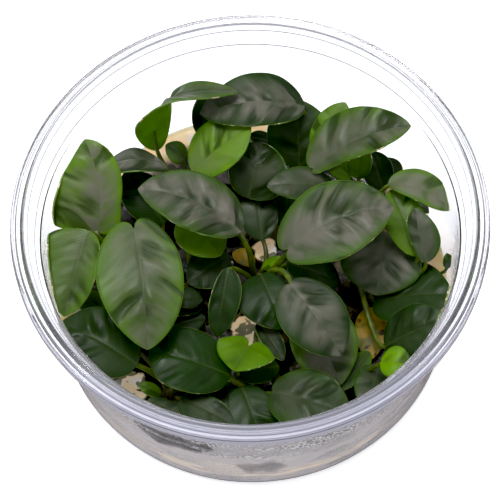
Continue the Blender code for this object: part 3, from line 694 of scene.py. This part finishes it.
def stalk_skin(look):
    """The skin of a leaf stalk: smooth and green, browner towards the crown, faintly grooved."""
    material, add, where = new_material("leaf_stalk")
    green = add(BLEND, add(RAMP, add(NOISE, where, 1 / 2), 0.4, 0.7), look.stalk, linear("6b7d22"))
    rise = add(RAMP, add(HEIGHT, where), *STALK_BROWN)
    return dress(
        material, Base_Color=add(BLEND, rise, look.stalk_foot, green), Roughness=0.38, IOR=1.45,
        Normal=add(BUMP, add(NOISE, where, 1 / 0.4), 0.3, 0.05 * MM))


def rhizome_bark(look):
    """The skin of a rhizome and its roots: corky and brown, greener where the light reaches it."""
    material, add, where = new_material("rhizome_skin")
    patches = add(RAMP, add(NOISE, where, 1 / 1.5, 4), 0.4, 0.65)
    return dress(
        material, Base_Color=add(BLEND, patches, look.bark, linear("4d4a20")), Roughness=0.6, IOR=1.45,
        Normal=add(BUMP, add(NOISE, where, 1 / 0.4, 4), 0.6, 0.15 * MM))


def aged_leaf(look):
    """A fallen leaf, soaked and amber, with dark rotted spots and green left along its veins."""
    material, add, where = new_material("aged_leaf")
    streaks = add(RAMP, add(NOISE, where, 1 / 3, 3), 0.45, 0.62)
    colour = add(BLEND, streaks, look.amber, linear("5d5a12"))
    rot = add(RAMP, add(NOISE, where, 1 / 1.6), 0.62, 0.7)
    return dress(
        material, Base_Color=add(BLEND, rot, colour, linear("2a1606")), Roughness=0.5, IOR=1.4,
        Subsurface_Weight=0.2, Subsurface_Scale=0.5 * MM,
        Normal=add(BUMP, add(NOISE, where, 1 / 1.2, 3), 0.6, 0.2 * MM))


def floor_paper():
    """White backdrop paper, matt and evenly lit from below, so that it stays white round the cup
    and through it. Reflections show the shaded paper under the camera, which is greyer."""
    material, add, where = new_material("backdrop_paper")
    fibres = add(RAMP, add(NOISE, where, 1 / 1.2, 3), 0.3, 0.7)
    paper = add(BLEND, fibres, linear("fafafa"), linear("f4f4f4"))
    mirrored = add(TIMES, add(GLOSSY_RAY), add(REFLECTED_RAY))
    return dress(
        material, Base_Color=add(BLEND, mirrored, paper, linear("a39d9d")), Roughness=0.9,
        Emission_Color=linear("ffffff"), Emission_Strength=add(RAMP, mirrored, 0, 1, 0.6, 0))


def deselect_all():
    if bpy.context.mode != "OBJECT":
        bpy.ops.object.mode_set(mode="OBJECT")
    bpy.ops.object.select_all(action="DESELECT")


def add_object(name, operator, **settings):
    """Add an object with one of Blender's operators, with nothing else selected, and name it."""
    deselect_all()
    operator(**settings)
    thing = bpy.context.object
    thing.name = name
    return thing


def select_only(*things):
    """Select these objects, the first of them active."""
    deselect_all()
    for thing in things:
        thing.select_set(True)
    bpy.context.view_layer.objects.active = things[0]


def apply_modifiers(thing):
    select_only(thing)
    for modifier in list(thing.modifiers):
        bpy.ops.object.modifier_apply(modifier=modifier.name)


def in_edit_mode(thing, *steps):
    """Run edit-mode steps on all of an object's mesh."""
    select_only(thing)
    bpy.ops.object.mode_set(mode="EDIT")
    bpy.ops.mesh.select_all(action="SELECT")
    for step in steps:
        step()
    bpy.ops.object.mode_set(mode="OBJECT")


def merge_doubles():
    bpy.ops.mesh.remove_doubles(threshold=WELD * MM)


def face_outwards():
    bpy.ops.mesh.normals_make_consistent(inside=False)


def joined(name, pieces):
    """Join pieces into one object that sits at the origin, and name it."""
    select_only(*pieces)
    if len(pieces) > 1:
        bpy.ops.object.join()
    thing = bpy.context.object
    bpy.ops.object.transform_apply(location=True, rotation=True, scale=True)
    thing.name = name
    thing.data.name = name
    return thing


def seat(thing, slot, *nodes):
    """Let a finished piece ride on the body, in place of its nodes. Its slot is not used."""
    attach(thing, BODY)
    if nodes:
        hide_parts(*nodes)


def spun(name, profile, steps):
    """Draw a closed profile of (radius, height) points from one vertex, and spin it."""
    thing = add_object(name, bpy.ops.mesh.primitive_plane_add, size=MM, location=(0, 0, 0))
    bpy.ops.object.mode_set(mode="EDIT")
    bpy.ops.mesh.select_mode(type="VERT")
    bpy.ops.mesh.select_all(action="SELECT")
    bpy.ops.mesh.merge(type="CENTER")
    here = (0, 0)
    for number, point in enumerate(profile):
        step = ((point[0] - here[0]) * MM, 0, (point[1] - here[1]) * MM)
        if number == 0:
            bpy.ops.transform.translate(value=step)
        else:
            bpy.ops.mesh.extrude_vertices_move(TRANSFORM_OT_translate={"value": step})
        here = point
    bpy.ops.mesh.select_all(action="SELECT")
    bpy.ops.mesh.spin(steps=steps, angle=2 * math.pi, center=(0, 0, 0), axis=(0, 0, 1))
    bpy.ops.mesh.select_all(action="SELECT")
    merge_doubles()
    face_outwards()
    bpy.ops.object.mode_set(mode="OBJECT")
    return joined(name, [thing])


def base_corner(radius, going_up):
    """The rounded base corner, about the centre that the inner and outer faces share."""
    centre = BASE_RADIUS + WALL_LEAN * CORNER_RADIUS - CORNER_RADIUS
    angles = [math.radians(-90 + 90 * i / CORNER_STEPS) for i in range(CORNER_STEPS + 1)]
    points = [(centre + radius * math.cos(a), CORNER_RADIUS + radius * math.sin(a)) for a in angles]
    return points if going_up else points[::-1]


def wall_radius(height):
    """Radius of the cup's outer face at a height."""
    return BASE_RADIUS + WALL_LEAN * height


def cup_profile():
    """Up the inside, over the rim and down the outside."""
    lip_edge = LIP_RADIUS + LIP_WIDTH
    return [
        (0, WALL),
        *base_corner(CORNER_RADIUS - WALL, True),
        (wall_radius(BODY_TOP) - WALL, BODY_TOP + WALL),
        (STEP_RADIUS, STEP_TOP),
        (LIP_RADIUS, CUP_HEIGHT),
        (lip_edge, CUP_HEIGHT),
        (lip_edge + BEAD_HEIGHT, RIM_TOP + BEAD_HEIGHT),
        (lip_edge + 2 * WALL, RIM_TOP + RIDGE_HEIGHT),
        (RIM_RADIUS - 2 * WALL, RIM_TOP),
        (RIM_RADIUS - WALL, RIM_TOP + BEAD_HEIGHT),
        (RIM_RADIUS, RIM_TOP),
        (RIM_RADIUS, SKIRT_FOOT),
        (RIM_RADIUS - WALL, SKIRT_FOOT),
        (RIM_RADIUS - WALL, RIM_TOP - RIM_THICKNESS),
        (lip_edge + WALL, RIM_TOP - RIM_THICKNESS),
        (lip_edge, RIM_TOP - RIM_THICKNESS - WALL),
        (STEP_RADIUS + WALL, STEP_TOP - WALL),
        (wall_radius(BODY_TOP), BODY_TOP),
        *base_corner(CORNER_RADIUS, False),
        (0, 0),
    ]


def gel_profile():
    """From the middle of the skin out to the wall, up it a little, and down round the corner."""
    rise = GEL_TOP + GEL_CLIMB
    edge = wall_radius(rise) - WALL - GEL_CLEARANCE
    flat = edge - GEL_CLIMB_WIDTH
    skin = [(flat * i / GEL_RINGS, GEL_TOP) for i in range(GEL_RINGS + 1)]
    climb = [(flat + out, GEL_TOP + up) for out, up in GEL_CLIMB_STEPS]
    low = WALL + GEL_CLEARANCE
    return [*skin, *climb, (edge, rise), *base_corner(CORNER_RADIUS - low, False), (0, low)]


def inside_wall(point, climb):
    """Hold a point inside the cup's wall; what is pushed back climbs the wall instead."""
    limit = wall_radius(point.z) - WALL_CLEARANCE
    reach = math.hypot(point.x, point.y)
    excess = max(0, reach - limit)
    if excess == 0:
        return point
    keep = limit / reach
    return Vector((point.x * keep, point.y * keep, point.z + climb * excess))


def half_width(u, widest):
    """Share of a blade's half width: a round base, full sides and a pointed tip."""
    if u < widest:
        return math.sqrt(max(0, 1 - ((widest - u) / widest) ** 2))
    return max(0, 1 - ((u - widest) / (1 - widest)) ** TIP_FULLNESS) ** TIP_POINT


def side_reach(leaf, u, v):
    """How far a blade reaches from its midrib, on the side that v is on."""
    lean = leaf.skew * math.copysign(min(1, SKEW_FADE * (1 - u)), v)
    return leaf.width / 2 * half_width(u, leaf.widest) * (1 + lean)


def blade_point(leaf, u, v):
    """A point of a leaf blade and its normal. u runs from base to tip, v across from -1 to 1."""
    base, tip = Vector(leaf.base), Vector(leaf.tip)
    along = tip - base
    side = along.cross(UP).normalized()
    rise = side.cross(along).normalized()
    bow = leaf.arch * rise + leaf.bend * side
    middle = base + u * along + 4 * u * (1 - u) * bow
    tangent = (along + (4 - 8 * u) * bow).normalized()
    side = (side - side.dot(tangent) * tangent).normalized()
    normal = side.cross(tangent)
    turn = math.radians(leaf.roll[0] + (leaf.roll[1] - leaf.roll[0]) * u)
    across = side * math.cos(turn) + normal * math.sin(turn)
    normal = normal * math.cos(turn) - side * math.sin(turn)
    reach = side_reach(leaf, u, v)
    share = half_width(u, leaf.widest)
    lobe = leaf.heart * along.length * abs(v) ** LOBE_FADE * math.sin(math.pi * share ** LOBE_PLACE)
    if u > leaf.widest:
        lobe = 0
    lift = leaf.cup * reach * abs(v) ** CUP_CURVE
    return inside_wall(middle - lobe * tangent + reach * v * across + lift * normal, WALL_CLIMB), normal


def blade_relief(leaf, u, v, seed):
    """How far a blade stands out of its smooth form at a point, in mm, and its readings there."""
    length = (Vector(leaf.tip) - Vector(leaf.base)).length
    off_rib = side_reach(leaf, u, v) * abs(v)
    side = math.copysign(1, v)
    lateral = u * length - VEIN_SLOPE * off_rib - VEIN_SWEEP * off_rib ** 2
    layer = LEAVES_APART * seed
    crest = 0
    for scale, share in FOLD_OCTAVES:
        off = side * (off_rib / (FOLD_LENGTH * scale) + HALVES_APART)
        crest += share * noise.noise(Vector((lateral / (FOLD_WIDTH * scale), off, layer + scale)))
    stir = noise.noise(Vector((u * length / CALM_SIZE, side * off_rib / CALM_SIZE, layer + CALM_APART)))
    crest *= min(CALM_RANGE[1], max(CALM_RANGE[0], CALM_MEAN + CALM_SWING * stir))
    ends = min(1, END_FADE[0] * u, END_FADE[1] * (1 - u))
    away = min(1, off_rib / FOLD_FADE)
    folds = crest * away * ends * (1 - abs(v) ** MARGIN_FADE)
    groove = -MIDRIB_GROOVE * math.exp(-(off_rib / MIDRIB_WIDTH) ** 2) * ends
    sway = noise.noise(Vector((u * length / MARGIN_WAVE_LENGTH, MARGINS_APART * side, layer)))
    full = min(1, leaf.width / MARGIN_FULL_WIDTH)
    wave = MARGIN_WAVE * abs(v) ** MARGIN_RISE * sway * full * ends
    readings = (lateral, side * off_rib, abs(v), u, crest, leaf.tone, leaf.bloom, seed)
    return folds, groove + wave, readings


def blade_grids():
    """A broad and a narrow flat grid, which every blade is shaped from."""
    return [
        add_object("grid", bpy.ops.mesh.primitive_grid_add, x_subdivisions=long, y_subdivisions=wide, size=2)
        for long, wide in (BROAD_SPANS, NARROW_SPANS)
    ]


def shape_blade(name, leaf, grids, seed, look):
    """Copy a grid and press it into one leaf's form, with its folds and its readings."""
    grid = grids[0] if leaf.width >= BROAD_BLADE else grids[1]
    thing = grid.copy()
    thing.data = grid.data.copy()
    thing.name = name
    bpy.context.scene.collection.objects.link(thing)
    depth = look.fold_depth * min(1, leaf.width / FOLD_FULL_WIDTH)
    rows = []
    for vertex in thing.data.vertices:
        u = (1 - math.cos(math.pi * (vertex.co.x + 1) / 2)) / 2
        v = -math.copysign(abs(vertex.co.y) ** MIDDLE_CROWDING, vertex.co.y)
        point, normal = blade_point(leaf, u, v)
        folds, rest, readings = blade_relief(leaf, u, v, seed)
        vertex.co = point * MM + normal * (folds * depth + rest * MM)
        rows.append(readings)
    for number, reading in enumerate(READINGS):
        attribute = thing.data.attributes.new(reading, "FLOAT", "POINT")
        attribute.data.foreach_set("value", [row[number] for row in rows])
    return thing


def thicken(thing, thickness, under=0, rim=0):
    """Merge what meets at base and tip, and give the blades their thickness."""
    in_edit_mode(thing, merge_doubles)
    shell = thing.modifiers.new("thickness", "SOLIDIFY")
    shell.thickness = thickness
    shell.offset = 0
    shell.material_offset = under
    shell.material_offset_rim = rim
    apply_modifiers(thing)
    thing.data.shade_smooth()


def grow_stem(name, knots, radii, fineness):
    """A stem through knots, each a point with its two handles, thinner or thicker at each."""
    thing = add_object(name, bpy.ops.curve.primitive_bezier_curve_add)
    curve = thing.data
    curve.bevel_depth = MM
    curve.bevel_resolution = fineness
    curve.resolution_u = STEM_STEPS
    curve.use_fill_caps = True
    spline = curve.splines[0]
    spline.bezier_points.add(len(knots) - len(spline.bezier_points))
    for knot, radius, (before, point, after) in zip(spline.bezier_points, radii, knots):
        knot.handle_left_type = "FREE"
        knot.handle_right_type = "FREE"
        knot.co = point * MM
        knot.handle_left = before * MM
        knot.handle_right = after * MM
        knot.radius = radius
    bpy.ops.object.convert(target="MESH")
    thing = bpy.context.object
    in_edit_mode(thing, merge_doubles, face_outwards)
    thing.data.shade_smooth()
    return thing


def smooth_knots(points):
    """Knots through points, with handles along the line between each one's neighbours."""
    knots = []
    for i, point in enumerate(points):
        before, after = points[max(0, i - 1)], points[min(len(points) - 1, i + 1)]
        slope = (after - before) / 6
        knots.append((point - slope, point, point + slope))
    return knots


def shape_stalk(leaf, crown):
    """A stalk that rises from the crown and runs on under the first stretch of the midrib."""
    radius = STALK_LEAST + STALK_SHARE * leaf.width
    under = []
    for u in STALK_SEATS:
        point, normal = blade_point(leaf, u, 0)
        under.append(point - normal * (radius - BLADE_SEAT))
    centre = Vector((*crown, CROWN_LOW + CROWN_HEIGHT / 2))
    outward = under[0] - centre
    outward.z = 0
    heading = outward.normalized()
    start = centre + heading * min(CROWN_RADIUS - radius, outward.length)
    aside = Vector((-heading.y, heading.x, 0)) * leaf.bow
    length = (under[0] - start).length
    tangent = (under[1] - under[0]).normalized()
    tangent.z = max(tangent.z, STALK_FALL)
    first = start + (UP * (STALK_RISE + leaf.lift) + heading * STALK_LEAN) * length + aside
    second = under[0] - (tangent + UP) * STALK_BEND * length + aside
    step = (under[1] - under[0]) / 3
    knots = [
        (start - UP, start, first),
        (second, under[0], under[0] + step),
        (under[1] - step, under[1], under[1] + step),
    ]
    thing = grow_stem("stalk", knots, [radius * share for share in STALK_TAPER], 2)
    for vertex in thing.data.vertices:
        vertex.co = inside_wall(vertex.co / MM, 0) * MM
    return thing


def shape_crown(crown):
    """The short crown that the stalks rise from, drawn in towards its bud."""
    thing = add_object(
        "crown", bpy.ops.mesh.primitive_cylinder_add, vertices=CROWN_SIDES,
        radius=CROWN_RADIUS * CROWN_WAIST * MM, depth=CROWN_HEIGHT * MM,
        location=Vector((*crown, CROWN_LOW + CROWN_HEIGHT / 2)) * MM)
    bpy.ops.object.mode_set(mode="EDIT")
    bpy.ops.mesh.select_all(action="DESELECT")
    bpy.ops.object.mode_set(mode="OBJECT")
    for face in thing.data.polygons:
        face.select = face.normal.z > 0.9
    bpy.ops.object.mode_set(mode="EDIT")
    for rise, share in CROWN_TAPER:
        bpy.ops.mesh.extrude_region_move(TRANSFORM_OT_translate={"value": (0, 0, rise * MM)})
        bpy.ops.transform.resize(value=(share, share, 1))
    bpy.ops.object.mode_set(mode="OBJECT")
    thing.data.shade_smooth()
    return thing


def shape_rhizome(plantlet):
    """The creeping stem with its leaf scars, its foot in the gel and its roots."""
    turn = math.radians(plantlet.creep)
    heading = Vector((math.cos(turn), math.sin(turn), 0))
    centre = Vector((*plantlet.crown, RHIZOME_AXIS))
    ends = [-1 + i / RHIZOME_RINGS for i in range(2 * RHIZOME_RINGS + 1)]
    points = [centre + heading * RHIZOME_HALF_LENGTH * end - UP * RHIZOME_DROOP * end * end for end in ends]
    radii = [
        RHIZOME_RADIUS * (1 - RHIZOME_TAPER * end * end + SCARS[number % 2])
        for number, end in enumerate(ends)
    ]
    pieces = [grow_stem("stem", smooth_knots(points), radii, 4)]
    low = Vector((*plantlet.crown, GEL_TOP + ROOT_AXIS))
    out, up = ROOT_KNEE
    for number, (direction, length) in enumerate(plantlet.roots):
        angle = math.radians(direction)
        way = Vector((math.cos(angle), math.sin(angle), 0))
        side = Vector((-way.y, way.x, 0)) * (ROOT_SWAY if number else -ROOT_SWAY)
        points = [centre + way * ROOT_START, low + way * out + UP * up,
                  low + way * length * ROOT_BEND + side, low + way * length - UP * ROOT_DIP]
        pieces.append(grow_stem("root", smooth_knots(points), ROOT_RADII, 2))
    foot = [Vector((*plantlet.crown, height))
            for height in (RHIZOME_AXIS, (RHIZOME_AXIS + FOOT_LOW) / 2, FOOT_LOW)]
    pieces.append(grow_stem("foot", smooth_knots(foot), FOOT_RADII, 3))
    return pieces


class ANUBIAS_OT_add_cup(bpy.types.Operator):
    """Spin the clear cup with its step, collar, ridges and skirt, and round its edges"""
    bl_idname = "anubias.add_cup"
    bl_label = "Add the Cup"

    def execute(self, context):
        look = context.scene.anubias_cup
        cup = spun("cup_shell", cup_profile(), look.steps)
        rounding = cup.modifiers.new("rounding", "BEVEL")
        rounding.width = EDGE_ROUNDING * MM
        rounding.segments = EDGE_SEGMENTS
        rounding.limit_method = "ANGLE"
        rounding.angle_limit = math.radians(SHARP_EDGE)
        rounding.use_clamp_overlap = True
        apply_modifiers(cup)
        cup.data.shade_smooth()
        cup.data.materials.append(clear_plastic(look))
        seat(cup, "cup_plastic", "cup")
        return {"FINISHED"}


class ANUBIAS_OT_add_drops(bpy.types.Operator):
    """Set drops of condensed water on the inside of the wall, thickest at the front"""
    bl_idname = "anubias.add_drops"
    bl_label = "Add the Drops"

    def execute(self, context):
        look = context.scene.anubias_cup
        drop = add_object(
            "drop", bpy.ops.mesh.primitive_uv_sphere_add, segments=DROP_SIDES, ring_count=DROP_RINGS,
            radius=1)
        draw = random.Random(DROP_SEED)
        copies = []
        for _ in range(look.drops):
            turn = math.radians(draw.gauss(*DROP_TURN))
            height = draw.triangular(*DROP_HEIGHTS)
            radius = wall_radius(height) - WALL
            size = look.drop_size * draw.uniform(*DROP_SIZES) ** DROP_SMALLNESS
            copy = drop.copy()
            copy.data = drop.data.copy()
            context.scene.collection.objects.link(copy)
            place = Vector((radius * math.cos(turn), radius * math.sin(turn), height)) * MM
            form = Matrix.Diagonal((size * DROP_DEPTH, size, size * draw.uniform(*DROP_LENGTHS), 1))
            copy.data.transform(Matrix.Translation(place) @ Matrix.Rotation(turn, 4, "Z") @ form)
            copies.append(copy)
        bpy.data.objects.remove(drop)
        drops = joined("condensation_drops", copies)
        drops.data.shade_smooth()
        drops.data.materials.append(water())
        seat(drops, None)
        return {"FINISHED"}


class ANUBIAS_OT_add_gel(bpy.types.Operator):
    """Spin the bed of gel, with its edge drawn up the wall and an uneven skin"""
    bl_idname = "anubias.add_gel"
    bl_label = "Add the Gel"

    def execute(self, context):
        look = context.scene.anubias_gel
        gel = spun("gel_bed", gel_profile(), GEL_STEPS)
        for vertex in gel.data.vertices:
            if vertex.co.z > (GEL_TOP - GEL_SKIN_DEPTH) * MM:
                sway = noise.noise(vertex.co / (GEL_UNEVENNESS_SIZE * MM))
                vertex.co.z += GEL_UNEVENNESS * sway * MM
        gel.data.shade_smooth()
        gel.data.materials.append(agar_gel(look))
        seat(gel, "nutrient_gel", "gel")
        return {"FINISHED"}


class ANUBIAS_OT_add_rhizomes(bpy.types.Operator):
    """Grow each plantlet's rhizome with its scars, foot and roots"""
    bl_idname = "anubias.add_rhizomes"
    bl_label = "Add the Rhizomes"

    def execute(self, context):
        bark = rhizome_bark(context.scene.anubias_leaf)
        for name, plantlet in PLANTLETS.items():
            rhizome = joined("rooted_rhizome_" + name, shape_rhizome(plantlet))
            rhizome.data.materials.clear()
            rhizome.data.materials.append(bark)
            seat(rhizome, "rhizome", "rhizome_" + name)
        return {"FINISHED"}


class ANUBIAS_OT_add_tufts(bpy.types.Operator):
    """Grow each plantlet's leaves: folded, veined blades on stalks that rise from its crown"""
    bl_idname = "anubias.add_tufts"
    bl_label = "Add the Leaves"

    def execute(self, context):
        look = context.scene.anubias_leaf
        skins = [leaf_upper(look), leaf_under(look), leaf_rim(look)]
        stalk = stalk_skin(look)
        grids = blade_grids()
        draw = random.Random(LEAF_SEED)
        for name, plantlet in PLANTLETS.items():
            blades = [shape_blade("blade", leaf, grids, draw.random(), look) for leaf in plantlet.leaves]
            tuft = joined("tuft_" + name, blades)
            for skin in skins:
                tuft.data.materials.append(skin)
            thicken(tuft, look.thickness, 1, 2)
            stems = [shape_stalk(leaf, plantlet.crown) for leaf in plantlet.leaves]
            stems.append(shape_crown(plantlet.crown))
            for stem in stems:
                stem.data.materials.clear()
                stem.data.materials.append(stalk)
            tuft = joined("tuft_" + name, [tuft, *stems])
            seat(tuft, "leaf", "leaves_" + name)
        for grid in grids:
            bpy.data.objects.remove(grid)
        return {"FINISHED"}


class ANUBIAS_OT_add_fallen(bpy.types.Operator):
    """Lay the two old leaves on the gel"""
    bl_idname = "anubias.add_fallen"
    bl_label = "Add the Fallen Leaves"

    def execute(self, context):
        look = context.scene.anubias_leaf
        skin = aged_leaf(look)
        grids = blade_grids()
        for number, (name, leaf) in enumerate(FALLEN.items()):
            blade = joined("old_" + name, [shape_blade(name, leaf, grids, FALLEN_SEED * number, look)])
            blade.data.materials.append(skin)
            thicken(blade, look.thickness)
            seat(blade, "old_leaf", name)
        for grid in grids:
            bpy.data.objects.remove(grid)
        return {"FINISHED"}


class ANUBIAS_OT_add_stage(bpy.types.Operator):
    """Set the white floor, the softbox, the even light of the room and the camera"""
    bl_idname = "anubias.add_stage"
    bl_label = "Add the Stage"

    def execute(self, context):
        look = context.scene.anubias_studio
        floor = add_object("studio_floor", bpy.ops.mesh.primitive_plane_add, size=FLOOR_SIZE)
        floor.data.materials.append(floor_paper())
        self.add_softbox(look)
        self.light_room(context, look)
        self.add_camera(context, look)
        return {"FINISHED"}

    def add_softbox(self, look):
        """A square softbox that looks at the cup."""
        way = Vector(SOFTBOX_WAY)
        place = Vector(SOFTBOX_TARGET) * MM + way.normalized() * SOFTBOX_DISTANCE
        box = add_object("softbox_over", bpy.ops.object.light_add, type="AREA", location=place)
        box.rotation_euler = way.to_track_quat("Z", "Y").to_euler()
        box.data.size = SOFTBOX_SIZE
        box.data.energy = look.key

    def light_room(self, context, look):
        """The even light of the room, and how the picture is developed."""
        world = context.scene.world or bpy.data.worlds.new("studio_room")
        context.scene.world = world
        world.use_nodes = True
        add = functools.partial(add_node, world.node_tree)
        height = add(HEIGHT, add(WAY))
        feed(world.node_tree.nodes["Background"], {
            "Strength": add(RAMP, height, *ROOM_FADE, look.room * look.dusk, look.room),
            "Color": add(BLEND, add(RAMP, height, *TINT_FADE), look.horizon, linear("fcfcff")),
        })
        view = context.scene.view_settings
        view.view_transform = "Standard"
        view.use_curve_mapping = True
        view.curve_mapping.black_level = (BLACK_POINT,) * 3
        view.curve_mapping.update()

    def add_camera(self, context, look):
        """The camera at the photograph's place, turned slightly about its own axis."""
        camera = add_object("photo_camera", bpy.ops.object.camera_add)
        pitch = Matrix.Rotation(math.radians(90 - CAMERA_PITCH), 4, "X")
        roll = Matrix.Rotation(math.radians(CAMERA_ROLL), 4, "Z")
        camera.matrix_world = Matrix.Translation(Vector(CAMERA_PLACE) * MM) @ pitch @ roll
        camera.data.sensor_width = CAMERA_SENSOR
        camera.data.lens = look.lens
        camera.data.shift_x, camera.data.shift_y = CAMERA_SHIFT
        camera.data.clip_start, camera.data.clip_end = CAMERA_CLIP
        context.scene.camera = camera


class ANUBIAS_PT_panel(bpy.types.Panel):
    """Lists the operators and the values that they use"""
    bl_idname = "ANUBIAS_PT_panel"
    bl_label = "Potted Anubias"
    bl_space_type = "VIEW_3D"
    bl_region_type = "UI"
    bl_category = "Anubias"

    def draw(self, context):
        for operator in OPERATORS:
            self.layout.operator(operator.bl_idname)
        for name in LOOKS:
            look = getattr(context.scene, name)
            box = self.layout.box()
            for value in look.bl_rna.properties:
                if not value.is_readonly and value.identifier != "name":
                    box.prop(look, value.identifier)


OPERATORS = (
    ANUBIAS_OT_add_stage,
    ANUBIAS_OT_add_cup,
    ANUBIAS_OT_add_drops,
    ANUBIAS_OT_add_gel,
    ANUBIAS_OT_add_rhizomes,
    ANUBIAS_OT_add_tufts,
    ANUBIAS_OT_add_fallen,
)
LOOKS = {
    "anubias_cup": CupLook,
    "anubias_gel": GelLook,
    "anubias_leaf": LeafLook,
    "anubias_studio": StudioLook,
}


def register():
    for kind in (*LOOKS.values(), *OPERATORS, ANUBIAS_PT_panel):
        bpy.utils.register_class(kind)
    for name, kind in LOOKS.items():
        setattr(bpy.types.Scene, name, bpy.props.PointerProperty(type=kind))


def unregister():
    for name in LOOKS:
        delattr(bpy.types.Scene, name)
    for kind in (ANUBIAS_PT_panel, *reversed(OPERATORS), *LOOKS.values()):
        bpy.utils.unregister_class(kind)


def main():
    register()
    bpy.ops.anubias.add_stage()
    bpy.ops.anubias.add_cup()
    bpy.ops.anubias.add_drops()
    bpy.ops.anubias.add_gel()
    bpy.ops.anubias.add_rhizomes()
    bpy.ops.anubias.add_tufts()
    bpy.ops.anubias.add_fallen()


if __name__ == "__main__":
    main()
